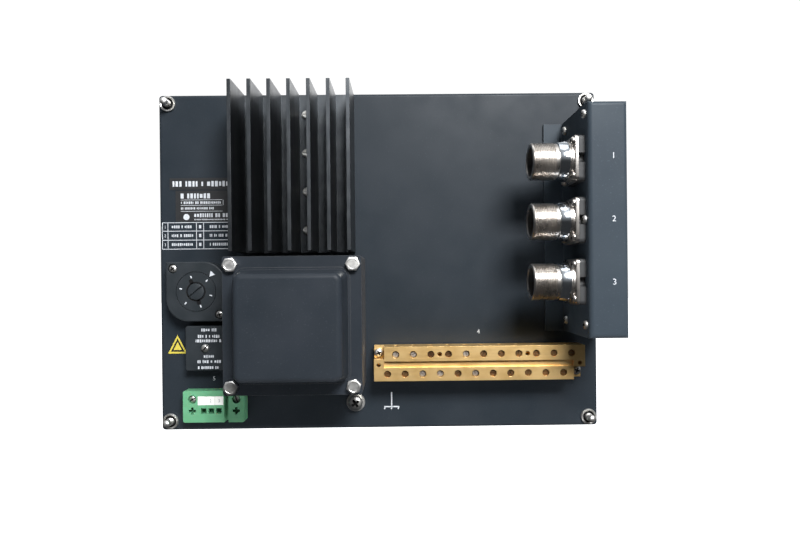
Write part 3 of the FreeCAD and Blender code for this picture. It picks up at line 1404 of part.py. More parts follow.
def labels():
    face = S.housing_reach
    strip = span("strip", S.label_left, S.label_right, S.strip_bottom, S.strip_top, face, S.label_gauge)
    plate = span("nameplate", S.label_left + S.nameplate_in, S.label_right, S.nameplate_bottom,
                 S.nameplate_top, face, S.label_gauge)
    triangle = new_body("triangle")
    sketch = new_sketch(triangle, "XZ_Plane", face)
    middle = (S.sign_left + S.sign_right) / 2
    draw_outline(sketch, [(S.sign_left, S.sign_bottom), (S.sign_right, S.sign_bottom), (middle, S.sign_top)])
    pad(triangle, sketch, S.label_gauge)
    return compound("labels", [strip, plate, triangle])


NODES = {
    "front_plate": front_plate, "front_gasket": front_gasket, "display_window": display_window,
    "display_module": display_module, "keypad_foil": keypad_foil, "housing_tub": housing_tub,
    "corner_blocks": corner_blocks, "rear_cover": rear_cover, "cover_studs": cover_studs,
    "cover_ferrules": cover_ferrules, "frame_screws": frame_screws, "control_board": control_board,
    "control_chips": control_chips, "supply_board": supply_board, "supply_capacitors": supply_capacitors,
    "board_spacers": board_spacers, "board_screws": board_screws, "transformer_core": transformer_core,
    "transformer_bobbin": transformer_bobbin, "transformer_winding": transformer_winding,
    "transformer_cap": transformer_cap, "transformer_bell": transformer_bell,
    "transformer_bolts": transformer_bolts, "transformer_nuts": transformer_nuts, "heat_sink": heat_sink,
    "heat_sink_screws": heat_sink_screws, "power_transistors": power_transistors,
    "selector_body": selector_body, "selector_dial": selector_dial,
    "selector_screws": selector_screws, "fuse_cap": fuse_cap, "fuse_carrier": fuse_carrier,
    "mains_fuse": mains_fuse, "spare_fuse_base": spare_fuse_base, "spare_fuse_cover": spare_fuse_cover,
    "spare_fuse_screw": spare_fuse_screw, "spare_fuses": spare_fuses, "mains_header": mains_header,
    "mains_pins": mains_pins, "mains_plug": mains_plug, "plug_clamps": plug_clamps,
    "plug_screws": plug_screws, "plug_marker": plug_marker, "terminal_bar": terminal_bar,
    "terminal_screws": terminal_screws, "bar_fixings": bar_fixings, "bar_spacers": bar_spacers,
    "earth_screw": earth_screw, "earth_washers": earth_washers, "connector_bracket": connector_bracket,
    "socket_collars": socket_collars, "socket_shell_1": lambda: socket_shell(1),
    "socket_shell_2": lambda: socket_shell(2), "socket_shell_3": lambda: socket_shell(3),
    "socket_inserts": socket_inserts, "socket_contacts": socket_contacts, "socket_screws": socket_screws,
    "socket_board": socket_board, "bracket_screws": bracket_screws, "labels": labels,
}


def main():
    fill_sheet()
    made = {}
    for name, make in NODES.items():
        made[name] = make()
        made[name].Label = name
    DOC.recompute()
    for item in DOC.Objects:
        if "Invalid" in item.State or "Error" in item.State:
            raise RuntimeError(f"{item.Name} failed: {item.State}")
    for name, item in made.items():
        if item.Shape.isNull() or not item.Shape.isValid() or not item.Shape.Solids:
            raise RuntimeError(f"{name} has no valid solid")
    os.makedirs("parts", exist_ok=True)
    for name, item in made.items():
        item.Shape.exportStep(f"parts/{name}.step")
        print(name, len(item.Shape.Solids), round(item.Shape.Volume))


main()
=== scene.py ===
import math
import random

import bmesh
import bpy
from mathutils import Matrix, Vector


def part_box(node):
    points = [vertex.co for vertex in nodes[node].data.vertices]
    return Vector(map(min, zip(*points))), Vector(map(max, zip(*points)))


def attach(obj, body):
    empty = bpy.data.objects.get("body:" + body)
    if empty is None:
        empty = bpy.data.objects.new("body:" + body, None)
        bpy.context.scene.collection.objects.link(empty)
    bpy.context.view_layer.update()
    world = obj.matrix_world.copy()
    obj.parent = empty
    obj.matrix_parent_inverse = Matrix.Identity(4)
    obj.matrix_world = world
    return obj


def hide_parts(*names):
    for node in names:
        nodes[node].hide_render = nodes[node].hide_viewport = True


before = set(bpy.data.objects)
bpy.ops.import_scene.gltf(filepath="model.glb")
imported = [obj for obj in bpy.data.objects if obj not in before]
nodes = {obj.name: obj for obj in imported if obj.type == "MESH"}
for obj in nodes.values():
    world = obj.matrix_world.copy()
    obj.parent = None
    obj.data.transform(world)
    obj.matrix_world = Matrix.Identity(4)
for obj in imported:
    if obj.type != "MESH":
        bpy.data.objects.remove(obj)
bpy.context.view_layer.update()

# Lengths below are millimetres in the CAD frame. "reach" is the distance behind the mounting plane,
# so a point at reach r lies at y = -r. Masters are made along local +Z, which points out of the object.
MM = 0.001
SAME_PLACE = 1e-7
NO_RADIUS = 1e-6
REARWARD = Matrix(((1, 0, 0), (0, 0, -1), (0, 1, 0))).to_4x4()
LEFTWARD = Matrix(((0, 0, -1), (-1, 0, 0), (0, 1, 0))).to_4x4()
FRONTWARD = Matrix(((-1, 0, 0), (0, 0, 1), (0, 1, 0))).to_4x4()


# ---------------------------------------------------------------- places

def corners_of(node):
    low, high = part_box(node)
    return low / MM, high / MM


def solids(node):
    """Lowest and highest corner of each separate solid of a CAD node, from the top left on."""
    bm = bmesh.new()
    bm.from_mesh(nodes[node].data)
    bmesh.ops.remove_doubles(bm, verts=bm.verts, dist=SAME_PLACE)
    left = set(bm.verts)
    found = []
    while left:
        frontier = [left.pop()]
        group = []
        while frontier:
            vert = frontier.pop()
            group.append(vert.co / MM)
            for edge in vert.link_edges:
                other = edge.other_vert(vert)
                if other in left:
                    left.remove(other)
                    frontier.append(other)
        low = Vector([min(point[axis] for point in group) for axis in range(3)])
        high = Vector([max(point[axis] for point in group) for axis in range(3)])
        found.append((low, high))
    bm.free()
    return sorted(found, key=lambda pair: (-round(pair[0].z), round(pair[0].x), round(pair[0].y)))


def at(x, reach, z, turn=REARWARD, spin=0.0):
    """Puts a master made in millimetres at a place, turned about its own axis by spin degrees."""
    return (Matrix.Translation(Vector((x, -reach, z)) * MM) @ turn
            @ Matrix.Rotation(math.radians(spin), 4, "Z") @ Matrix.Scale(MM, 4))


def rear_faces(node):
    """Middle across, outermost reach and middle height of each solid that faces the rear."""
    return [((low.x + high.x) / 2, -low.y, (low.z + high.z) / 2) for low, high in solids(node)]


def left_faces(node):
    """Leftmost x, middle reach and middle height of each solid that faces left."""
    return [(low.x, -(low.y + high.y) / 2, (low.z + high.z) / 2) for low, high in solids(node)]


# ---------------------------------------------------------------- meshes

def to_mesh(bm, name):
    bmesh.ops.recalc_face_normals(bm, faces=bm.faces)
    mesh = bpy.data.meshes.new(name)
    bm.to_mesh(mesh)
    bm.free()
    return mesh


def lathe(profile, steps=48, closed=False):
    """Turns (radius, height) points about local Z."""
    bm = bmesh.new()
    rings = []
    for radius, height in profile:
        if radius < NO_RADIUS:
            rings.append([bm.verts.new((0, 0, height))])
            continue
        angles = [2 * math.pi * step / steps for step in range(steps)]
        rings.append([bm.verts.new((radius * math.cos(a), radius * math.sin(a), height)) for a in angles])
    pairs = list(zip(rings, rings[1:]))
    if closed:
        pairs.append((rings[-1], rings[0]))
    for one, two in pairs:
        for step in range(steps):
            after = (step + 1) % steps
            if len(one) == 1 and len(two) == 1:
                continue
            if len(one) == 1:
                bm.faces.new((one[0], two[after], two[step]))
            elif len(two) == 1:
                bm.faces.new((one[step], one[after], two[0]))
            else:
                bm.faces.new((one[step], one[after], two[after], two[step]))
    return to_mesh(bm, "lathe")


def rounded_outline(width, height, radius, steps=6):
    points = []
    for quarter, (sx, sy) in enumerate(((1, 1), (-1, 1), (-1, -1), (1, -1))):
        for step in range(steps + 1):
            angle = math.pi / 2 * (quarter + step / steps)
            points.append((sx * (width / 2 - radius) + radius * math.cos(angle),
                           sy * (height / 2 - radius) + radius * math.sin(angle)))
    return points


def slab(outline, low, high, bevel=0.0):
    """An outline about the origin raised from low to high, its upper edge rounded by bevel."""
    size = max(max(abs(x), abs(y)) for x, y in outline)
    levels = [(low, 0.0), (high - bevel, 0.0)]
    if bevel:
        levels += [(high - bevel * 0.3, bevel * 0.3), (high, bevel)]
    bm = bmesh.new()
    rings = []
    for level, inset in levels:
        share = 1 - inset / size
        rings.append([bm.verts.new((x * share, y * share, level)) for x, y in outline])
    count = len(outline)
    for one, two in zip(rings, rings[1:]):
        for step in range(count):
            after = (step + 1) % count
            bm.faces.new((one[step], one[after], two[after], two[step]))
    bm.faces.new(rings[0])
    bm.faces.new(rings[-1])
    return to_mesh(bm, "slab")


def bar(x, y, width, height, low, high):
    """A flat bar about (x, y)."""
    bm = bmesh.new()
    bmesh.ops.create_cube(bm, size=1.0)
    for vert in bm.verts:
        level = low + (vert.co.z + 0.5) * (high - low)
        vert.co = Vector((x + vert.co.x * width, y + vert.co.y * height, level))
    return to_mesh(bm, "bar")


def combined(base, tool, operation="DIFFERENCE"):
    """The result of an exact boolean between two meshes."""
    pair = [bpy.data.objects.new("boolean_part", mesh) for mesh in (base, tool)]
    for item in pair:
        bpy.context.scene.collection.objects.link(item)
    change = pair[0].modifiers.new("boolean", "BOOLEAN")
    change.operation = operation
    change.solver = "EXACT"
    change.object = pair[1]
    done = bpy.data.meshes.new_from_object(pair[0].evaluated_get(bpy.context.evaluated_depsgraph_get()))
    for item in pair:
        bpy.data.objects.remove(item)
    return done


def joined(places):
    """One mesh of many (mesh, matrix) pairs."""
    bm = bmesh.new()
    for mesh, matrix in places:
        copy = mesh.copy()
        copy.transform(matrix)
        bm.from_mesh(copy)
        bpy.data.meshes.remove(copy)
    mesh = bpy.data.meshes.new("joined")
    bm.to_mesh(mesh)
    bm.free()
    return mesh


def piece(name, places, body, slot, replaced=(), finish=None, sharp=32.0):
    """A visible piece made of (mesh, matrix) pairs, riding on a body."""
    mesh = joined(places)
    for material in finish or [FINISHES[slot]]:
        mesh.materials.append(material)
    mesh.polygons.foreach_set("use_smooth", [True] * len(mesh.polygons))
    mesh.set_sharp_from_angle(angle=math.radians(sharp))
    made = bpy.data.objects.new(name, mesh)
    bpy.context.scene.collection.objects.link(made)
    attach(made, body)
    if replaced:
        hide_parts(*replaced)
    return made


def repaint(mesh, index, chosen):
    """Gives the faces that pass the test another material slot."""
    for face in mesh.polygons:
        if chosen(face):
            face.material_index = index
    return mesh


# ---------------------------------------------------------------- finishes

EDGE_SAMPLES = 4
BAND_SCALE = math.pi / 20    # wave texture scale at which a band is one unit wide


class Finish:
    """A Principled material: even values sit on its sockets, and detail comes from nodes."""

    def __init__(self, name, colour, roughness, metallic=0.0, rounding=0.25, **sockets):
        self.material = bpy.data.materials.new(name)
        self.material.use_nodes = True
        self.tree = self.material.node_tree
        self.shader = self.tree.nodes["Principled BSDF"]
        self.shader.inputs["Base Color"].default_value = (*colour, 1)
        self.shader.inputs["Roughness"].default_value = roughness
        self.shader.inputs["Metallic"].default_value = metallic
        for socket, value in sockets.items():
            self.shader.inputs[socket.replace("_", " ")].default_value = value
        self.place = self.node("ShaderNodeTexCoord").outputs["Object"]
        self.normal = None
        if rounding:
            edge = self.node("ShaderNodeBevel", Radius=rounding * MM)
            edge.samples = EDGE_SAMPLES
            self.normal = edge.outputs["Normal"]
            self.join(self.normal, self.shader.inputs["Normal"])

    def node(self, kind, **values):
        made = self.tree.nodes.new(kind)
        for socket, value in values.items():
            made.inputs[socket].default_value = value
        return made

    def join(self, source, target):
        self.tree.links.new(source, target)

    def stretched(self, stretch):
        mapping = self.node("ShaderNodeMapping", Scale=stretch)
        self.join(self.place, mapping.inputs["Vector"])
        return mapping.outputs["Vector"]

    def noise(self, size, detail=2.0, stretch=(1, 1, 1)):
        """Soft noise whose features are about size millimetres across."""
        made = self.node("ShaderNodeTexNoise", Scale=1 / (size * MM), Detail=detail)
        self.join(self.stretched(stretch), made.inputs["Vector"])
        return made.outputs["Fac"]

    def cells(self, size, feature="F1"):
        made = self.node("ShaderNodeTexVoronoi", Scale=1 / (size * MM))
        made.feature = feature
        self.join(self.place, made.inputs["Vector"])
        return made.outputs["Distance"]

    def bands(self, size, direction="Y", wobble=0.0):
        made = self.node("ShaderNodeTexWave", Scale=BAND_SCALE / (size * MM), Distortion=wobble)
        made.bands_direction = direction
        self.join(self.place, made.inputs["Vector"])
        return made.outputs["Fac"]

    def level(self, value, low, high, start=0.0, end=1.0):
        made = self.node("ShaderNodeMapRange")
        for socket, number in zip(("From Min", "From Max", "To Min", "To Max"), (low, high, start, end)):
            made.inputs[socket].default_value = number
        self.join(value, made.inputs["Value"])
        return made.outputs["Result"]

    def blend(self, share, first, second):
        made = self.tree.nodes.new("ShaderNodeMix")
        made.data_type = "RGBA"
        self.join(share, made.inputs[0])
        for socket, colour in ((made.inputs[6], first), (made.inputs[7], second)):
            if isinstance(colour, tuple):
                socket.default_value = (*colour, 1)
            else:
                self.join(colour, socket)
        return made.outputs[2]

    def colour(self, source):
        self.join(source, self.shader.inputs["Base Color"])
        return self

    def roughness(self, value, rough_low, rough_high):
        self.join(self.level(value, 0.3, 0.7, rough_low, rough_high), self.shader.inputs["Roughness"])
        return self

    def bump(self, height, depth):
        """Raises the surface by a height of 0 to 1 times depth millimetres."""
        made = self.node("ShaderNodeBump", Strength=1.0, Distance=depth * MM)
        self.join(height, made.inputs["Height"])
        if self.normal:
            self.join(self.normal, made.inputs["Normal"])
        self.normal = made.outputs["Normal"]
        self.join(self.normal, self.shader.inputs["Normal"])
        return self

    def edge_wear(self, width, strength=1.0):
        """About 1 on worn outer edges and 0 elsewhere."""
        wide = self.node("ShaderNodeBevel", Radius=width * MM)
        wide.samples = EDGE_SAMPLES
        flat = self.node("ShaderNodeNewGeometry")
        dot = self.tree.nodes.new("ShaderNodeVectorMath")
        dot.operation = "DOT_PRODUCT"
        self.join(wide.outputs["Normal"], dot.inputs[0])
        self.join(flat.outputs["Normal"], dot.inputs[1])
        return self.level(dot.outputs["Value"], 0.995, 0.86, 0.0, strength)


def painted(name, colour, patch, worn, rough, peel=1.1, depth=0.012, wear=0.5):
    """Powder coat or paint: orange peel, faint patches, fine specks and rubbed edges."""
    made = Finish(name, colour, rough[0], Specular_IOR_Level=0.16)
    patches = made.level(made.noise(38, 4), 0.35, 0.7)
    ground = made.blend(patches, colour, patch)
    specks = made.level(made.noise(0.9, 1), 0.66, 0.78, 0.0, 0.35)
    dusty = made.blend(specks, ground, tuple(c * 1.9 + 0.01 for c in patch))
    made.colour(made.blend(made.edge_wear(wear, 0.55), dusty, worn))
    made.roughness(made.noise(14, 3), *rough)
    return made.bump(made.noise(peel, 1), depth).material


def bare_metal(name, colour, tone, rough, stretch=(1, 1, 1), grain=1.2, depth=0.003, **sockets):
    """Bright metal with a grain along one direction and slight stains."""
    made = Finish(name, colour, rough[0], 1.0, **sockets)
    stains = made.level(made.noise(9, 4), 0.4, 0.68)
    made.colour(made.blend(stains, colour, tone))
    grain_fac = made.noise(grain, 3, stretch)
    made.roughness(grain_fac, *rough)
    return made.bump(grain_fac, depth).material


def moulded(name, colour, tone, rough, grain=0.5, depth=0.006, **sockets):
    """Moulded plastic with a fine spark-eroded grain and slight flow marks."""
    made = Finish(name, colour, rough[0], **sockets)
    flow = made.level(made.noise(11, 3), 0.35, 0.7)
    made.colour(made.blend(flow, colour, tone))
    made.roughness(made.noise(5, 2), *rough)
    return made.bump(made.noise(grain, 1), depth).material


def sheet_zinc():
    made = Finish("zinc_sheet_finish", (0.62, 0.63, 0.63), 0.34, 1.0)
    spangle = made.cells(7.0)
    made.colour(made.blend(made.level(spangle, 0.1, 0.7), (0.66, 0.67, 0.67), (0.48, 0.5, 0.51)))
    made.roughness(made.noise(4, 3), 0.28, 0.46)
    return made.bump(spangle, 0.004).material


def laminated():
    made = Finish("core_finish", (0.09, 0.09, 0.095), 0.5, 0.7)
    leaves = made.bands(0.5, "Y", 0.3)
    rust = made.level(made.noise(6, 5), 0.55, 0.75, 0.0, 0.5)
    steel = made.blend(leaves, (0.05, 0.05, 0.055), (0.16, 0.16, 0.165))
    made.colour(made.blend(rust, steel, (0.11, 0.06, 0.035)))
    made.roughness(made.noise(3, 3), 0.42, 0.62)
    return made.bump(leaves, 0.03).material


def wound():
    made = Finish("copper_finish", (0.55, 0.2, 0.08), 0.32, 1.0)
    turns = made.bands(0.9, "Z", 0.6)
    made.colour(made.blend(turns, (0.3, 0.1, 0.04), (0.62, 0.25, 0.1)))
    return made.bump(turns, 0.12).material


def board_laminate():
    made = Finish("circuit_board_finish", (0.02, 0.1, 0.05), 0.36)
    tracks = made.level(made.cells(3.2, "DISTANCE_TO_EDGE"), 0.08, 0.12)
    pads = made.level(made.cells(5.5), 0.16, 0.2, 1.0, 0.0)
    mask = made.blend(tracks, (0.035, 0.16, 0.075), (0.015, 0.085, 0.04))
    made.colour(made.blend(pads, mask, (0.55, 0.55, 0.5)))
    made.roughness(made.noise(2, 2), 0.3, 0.44)
    return made.bump(tracks, 0.02).material


def foam_rubber():
    made = Finish("foam_finish", (0.03, 0.03, 0.032), 0.9, rounding=0.4)
    pores = made.cells(0.7)
    made.colour(made.blend(pores, (0.015, 0.015, 0.016), (0.06, 0.06, 0.062)))
    return made.bump(pores, 0.12).material


def glass(name, colour, weight):
    made = Finish(name, colour, 0.06, Transmission_Weight=weight, IOR=1.49)
    return made.roughness(made.noise(30, 3), 0.04, 0.1).material


def display_face():
    made = Finish("display_finish", (0.03, 0.045, 0.04), 0.25)
    dots = made.cells(0.6)
    made.colour(made.blend(dots, (0.02, 0.032, 0.028), (0.05, 0.07, 0.062)))
    return made.bump(dots, 0.004).material


def turned_metal(name, colour, tone, rough):
    """Bright metal with fine turning marks round the barrel's axis, which lies along X."""
    made = Finish(name, colour, rough[0], 1.0, rounding=0)
    rings = made.noise(0.6, 2, (1, 0.02, 0.02))
    stains = made.level(made.noise(16, 2), 0.42, 0.7)
    made.colour(made.blend(stains, colour, tone))
    made.roughness(made.noise(9, 2), *rough)
    return made.bump(rings, 0.0008).material


def film(name, colour, tone, rough):
    made = Finish(name, colour, rough[0], rounding=0.05)
    made.colour(made.blend(made.level(made.noise(6, 3), 0.35, 0.7), colour, tone))
    made.roughness(made.noise(2, 2), *rough)
    return made.bump(made.noise(0.3, 1), 0.002).material


def ink(name, colour, tone):
    """Screen-printed ink, a little thin in places."""
    made = Finish(name, colour, 0.55, rounding=0)
    thin = made.level(made.noise(0.7, 3), 0.45, 0.75)
    made.colour(made.blend(thin, colour, tone))
    return made.bump(made.noise(0.25, 1), 0.004).material


FINISHES = {
    "powder_coat": painted("powder_coat_finish", (0.013, 0.018, 0.0235), (0.018, 0.023, 0.029),
                           (0.09, 0.085, 0.08), (0.42, 0.54)),
    "bracket_coat": painted("bracket_coat_finish", (0.025, 0.034, 0.044), (0.031, 0.041, 0.051),
                            (0.1, 0.11, 0.12), (0.42, 0.54), wear=0.4),
    "front_metal": painted("front_metal_finish", (0.3, 0.31, 0.3), (0.33, 0.34, 0.325),
                           (0.6, 0.6, 0.6), (0.42, 0.52), wear=0.3),
    "bell_paint": painted("bell_paint_finish", (0.014, 0.018, 0.023), (0.019, 0.023, 0.029),
                          (0.07, 0.07, 0.07), (0.4, 0.5), peel=1.6),
    "anodised": bare_metal("anodised_finish", (0.05, 0.055, 0.06), (0.07, 0.075, 0.08),
                           (0.36, 0.5), (1, 1, 0.04), 0.7, 0.004),
    "zinc_sheet": sheet_zinc(),
    "zinc_fastener": bare_metal("zinc_fastener_finish", (0.84, 0.83, 0.81), (0.7, 0.68, 0.63),
                                (0.36, 0.5), grain=2.5, depth=0.002, rounding=0),
    "nickel": turned_metal("nickel_finish", (0.66, 0.62, 0.58), (0.52, 0.48, 0.44), (0.24, 0.36)),
    "brass": bare_metal("brass_finish", (0.86, 0.6, 0.27), (0.76, 0.5, 0.2),
                        (0.42, 0.56), (0.03, 1, 1), 0.5, 0.006),
    "gold": bare_metal("gold_finish", (0.85, 0.62, 0.25), (0.75, 0.52, 0.2), (0.2, 0.3), rounding=0),
    "copper": wound(),
    "core": laminated(),
    "foam": foam_rubber(),
    "circuit_board": board_laminate(),
    "window": glass("window_finish", (0.12, 0.14, 0.13), 0.85),
    "fuse_glass": glass("fuse_glass_finish", (0.75, 0.8, 0.8), 0.7),
    "display": display_face(),
    "foil": film("foil_finish", (0.2, 0.21, 0.22), (0.23, 0.24, 0.25), (0.5, 0.6)),
    "label_film": film("label_film_finish", (0.006, 0.0065, 0.0075), (0.009, 0.0095, 0.011), (0.5, 0.62)),
    "component": moulded("component_finish", (0.02, 0.02, 0.022), (0.035, 0.035, 0.036), (0.45, 0.6)),
    "capacitor": moulded("capacitor_finish", (0.015, 0.03, 0.09), (0.02, 0.04, 0.12), (0.28, 0.4)),
    "bobbin": moulded("bobbin_finish", (0.05, 0.05, 0.05), (0.08, 0.075, 0.07), (0.45, 0.6)),
    "selector_plastic": moulded("selector_plastic_finish", (0.014, 0.018, 0.021), (0.02, 0.024, 0.028),
                                (0.4, 0.52), Specular_IOR_Level=0.3),
    "insert_plastic": moulded("insert_plastic_finish", (0.012, 0.012, 0.014), (0.03, 0.025, 0.02),
                              (0.4, 0.55), rounding=0.1),
    "collar_rubber": moulded("collar_rubber_finish", (0.02, 0.021, 0.022), (0.032, 0.033, 0.034),
                             (0.55, 0.7)),
    "plug_green": moulded("plug_green_finish", (0.085, 0.26, 0.135), (0.11, 0.3, 0.165), (0.34, 0.48),
                          Subsurface_Weight=0.08, Subsurface_Scale=0.0006),
    "marker_white": moulded("marker_white_finish", (0.8, 0.8, 0.77), (0.72, 0.72, 0.68), (0.4, 0.5)),
}
WHITE_INK = ink("white_ink", (0.5, 0.52, 0.55), (0.3, 0.32, 0.35))
YELLOW_INK = ink("yellow_ink", (0.5, 0.41, 0.05), (0.34, 0.28, 0.04))
GREY_INK = ink("grey_ink", (0.28, 0.3, 0.32), (0.2, 0.21, 0.22))
# Near-black painted shade for the insides of screw recesses, ferrule dishes, the dial's notches and the gap
# round the fuse cap.
RECESS_SHADE = moulded("painted_recess_shade", (0.004, 0.004, 0.0045), (0.008, 0.0075, 0.007), (0.6, 0.8), rounding=0,
                    Specular_IOR_Level=0.15)
GRUB_STEEL = bare_metal("grub_steel", (0.62, 0.56, 0.5), (0.5, 0.44, 0.38), (0.4, 0.5), rounding=0)
# Brass far darker than the bar's: the brass hue with painted shade of the holes the grubs sit sunk in.
SHADED_GRUB_BRASS = bare_metal("grub_brass_painted_shade", (0.34, 0.2, 0.09), (0.2, 0.11, 0.06), (0.35, 0.5), rounding=0)
RING_CHROME = turned_metal("ring_chrome", (0.74, 0.78, 0.82), (0.66, 0.7, 0.75), (0.1, 0.18))
PAD_FILM = film("pad_film", (0.09, 0.1, 0.11), (0.11, 0.12, 0.13), (0.42, 0.52))

for item in nodes.values():
    slot = item.material_slots[0].material.name.split(".")[0]
    for holder in item.material_slots:
        holder.material = FINISHES[slot]


# ---------------------------------------------------------------- faces and middles taken from the CAD

HERE = Matrix.Identity(4)
FACE = -corners_of("rear_cover")[0].y
LABEL_FACE = -corners_of("labels")[0].y
STRIP_FACE = -corners_of("connector_bracket")[0].y
DIAL_X, DIAL_FACE, DIAL_Z = rear_faces("selector_dial")[0]
SPARE_FACE = rear_faces("spare_fuse_cover")[0][1]
INK = 0.05


# ---------------------------------------------------------------- screws, bolts and studs

RECESS_WIDTH, CROSS_SPAN, SLOT_SPAN = 0.34, 1.15, 2.4    # shares of a head's radius

# Head radius, head height and shank radius of each kind of pan-head screw.
PAN_M3 = (2.8, 2.0, 1.5)
FLANGE_PAN = (2.7, 2.0, 1.5)
BAR_PAN = (3.1, 2.4, 1.5)
EARTH_PAN = (5.0, 3.4, 2.5)
PLUG_PAN = (2.5, 1.8, 1.15)


def driven(head, radius, depth, drive):
    """Cuts a cross or a slot into a screw head whose top is at height 0; the walls and floor of the recess
    take the second slot, painted shade.
    """
    width, span = radius * RECESS_WIDTH, radius * CROSS_SPAN
    if drive == "slot":
        tool = bar(0, 0, radius * SLOT_SPAN, width, -depth, 1)
    else:
        tool = combined(bar(0, 0, span, width, -depth, 1), bar(0, 0, width, span, -depth, 1), "UNION")
    cut = combined(head, tool)
    return repaint(cut, 1, lambda face: -depth * 1.01 < face.center.z and
                   (abs(face.normal.z) < 0.02 or abs(face.center.z + depth) < 0.01))


def pan_screw(sizes, length, drive="cross"):
    radius, rise, shank = sizes
    profile = [(0, 0), (radius * 0.45, -rise * 0.04), (radius * 0.76, -rise * 0.2),
               (radius * 0.93, -rise * 0.48), (radius, -rise * 0.8), (radius * 0.97, -rise),
               (shank, -rise), (shank, -length), (0, -length)]
    return driven(lathe(profile, 40), radius, rise * 0.55, drive)


def hex_bolt(flats, rise, shank, length):
    across = flats / math.sqrt(3)
    angles = [math.pi / 3 * side for side in range(6)]
    outline = [(across * math.cos(angle), across * math.sin(angle)) for angle in angles]
    prism = slab(outline, -rise, 0)
    wide = across * 1.03
    chamfer = lathe([(0, -0.15), (flats * 0.36, -0.15), (flats * 0.39, 0), (flats * 0.475, 0),
                     (wide, -rise * 0.15), (wide, -rise * 0.88), (flats * 0.49, -rise), (0, -rise)], 60)
    head = combined(prism, chamfer, "INTERSECT")
    stem = lathe([(0, -rise), (shank, -rise), (shank, -length), (0, -length)], 24)
    return joined([(head, HERE), (stem, HERE)])


def ridges(crest, root, start, end, pitch):
    """Profile points of a thread from start down to end."""
    points = []
    for turn in range(int((start - end) / pitch)):
        top = start - turn * pitch
        points += [(crest, top), (crest, top - pitch * 0.14)]
        points += [(root, top - pitch * 0.5), (root, top - pitch * 0.62)]
    return points


def stud(radius, proud, length):
    core = radius * 0.8
    profile = [(0, 0), (radius * 0.45, -0.12), (radius * 0.78, -0.55), (radius * 0.96, -1.3), (radius, -2.0)]
    profile += ridges(radius, radius * 0.86, -proud * 0.5, -proud + 0.3, 0.8)
    profile += [(radius, -proud), (core, -proud), (core, -length), (0, -length)]
    return lathe(profile, 32)


def ferrule(radius, gauge, bore):
    dish = radius * 0.73
    ring = lathe([(radius, -gauge * 0.3), (radius * 0.95, 0), (radius * 0.82, 0), (dish + 0.1, -0.2),
                  (dish, -gauge * 0.7), (bore, -gauge * 0.7), (bore, -gauge), (radius, -gauge)],
                 48, closed=True)
    # The dish inside the ring takes the second slot: painted shade.
    return repaint(ring, 1, lambda face: face.center.xy.length < dish + 0.02 and face.center.z > -gauge * 0.9)


def fasteners(name, node, master, spins=(0,), faces=rear_faces, turn=REARWARD, body="chassis",
              slot="zinc_fastener"):
    """Copies of one master in place of a CAD node's solids, each turned by its own spin in degrees."""
    places = [(master, at(*face, turn, spins[number % len(spins)]))
              for number, face in enumerate(faces(node))]
    piece(name, places, body, slot, [node], [FINISHES[slot], RECESS_SHADE])


def make_fasteners():
    fasteners("wall_screws", "bracket_screws", pan_screw(PAN_M3, 13.1), (12, 57, 33, 80, 4, 66),
              left_faces, LEFTWARD)
    fasteners("flange_screws", "socket_screws", pan_screw(FLANGE_PAN, 10.6), (20, 71, 45, 8, 62),
              left_faces, LEFTWARD, slot="nickel")
    fasteners("corner_studs", "cover_studs", stud(2.5, 9.5, 17.5), (0, 15, 30, 45))
    fasteners("corner_ferrules", "cover_ferrules", ferrule(5.35, 1.4, 2.7))
    fasteners("core_bolts", "transformer_bolts", hex_bolt(8.0, 3.5, 2.5, 58.9), (4, -3, 9, 17))
    fasteners("bar_screws", "bar_fixings", pan_screw(BAR_PAN, 14.9), (25, 70))
    fasteners("earth_bolt", "earth_screw", pan_screw(EARTH_PAN, 15.4), (35,))
    fasteners("selector_fixings", "selector_screws", pan_screw(PAN_M3, 13.0), (40, 15))
    fasteners("spare_lid_screw", "spare_fuse_screw", pan_screw(PAN_M3, 8.5, "slot"), (50,), body="spare_lid")
    fasteners("plug_flange_screws", "plug_screws", pan_screw(PLUG_PAN, 34.3, "slot"), (35, 110), body="plug")


STEEL_GRUBS = {0, 1, 4, 13, 14, 16}    # counted along the upper row, then along the lower one
GRUB_SEED = 7


def make_terminal_screws():
    """Slotted grub screws; most are brass darkened with painted shade for the holes they sit sunk in, and a
    few in each row are bright steel.
    """
    grub = lathe([(0, 0), (1.7, 0), (2.1, -0.35), (2.15, -0.8), (2.15, -5.6), (0, -5.6)], 32)
    grub = combined(grub, bar(0, 0, 5.2, 0.75, -1.0, 1))
    bright = repaint(grub.copy(), 1, lambda face: True)
    faces = sorted(rear_faces("terminal_screws"), key=lambda face: (-round(face[2]), face[0]))
    spin = random.Random(GRUB_SEED)
    places = [(bright if number in STEEL_GRUBS else grub, at(*face, REARWARD, spin.uniform(0, 180)))
              for number, face in enumerate(faces)]
    piece("terminal_grub_screws", places, "chassis", "brass", ["terminal_screws"],
          [SHADED_GRUB_BRASS, GRUB_STEEL])


# ---------------------------------------------------------------- round sockets

BARREL_BORE, TAIL_RADIUS = 9.0, 9.7
RING_START, RING_END = -16.4, -22.6
FLANGE_SIDE, FLANGE_CORNER = 28, 2.6


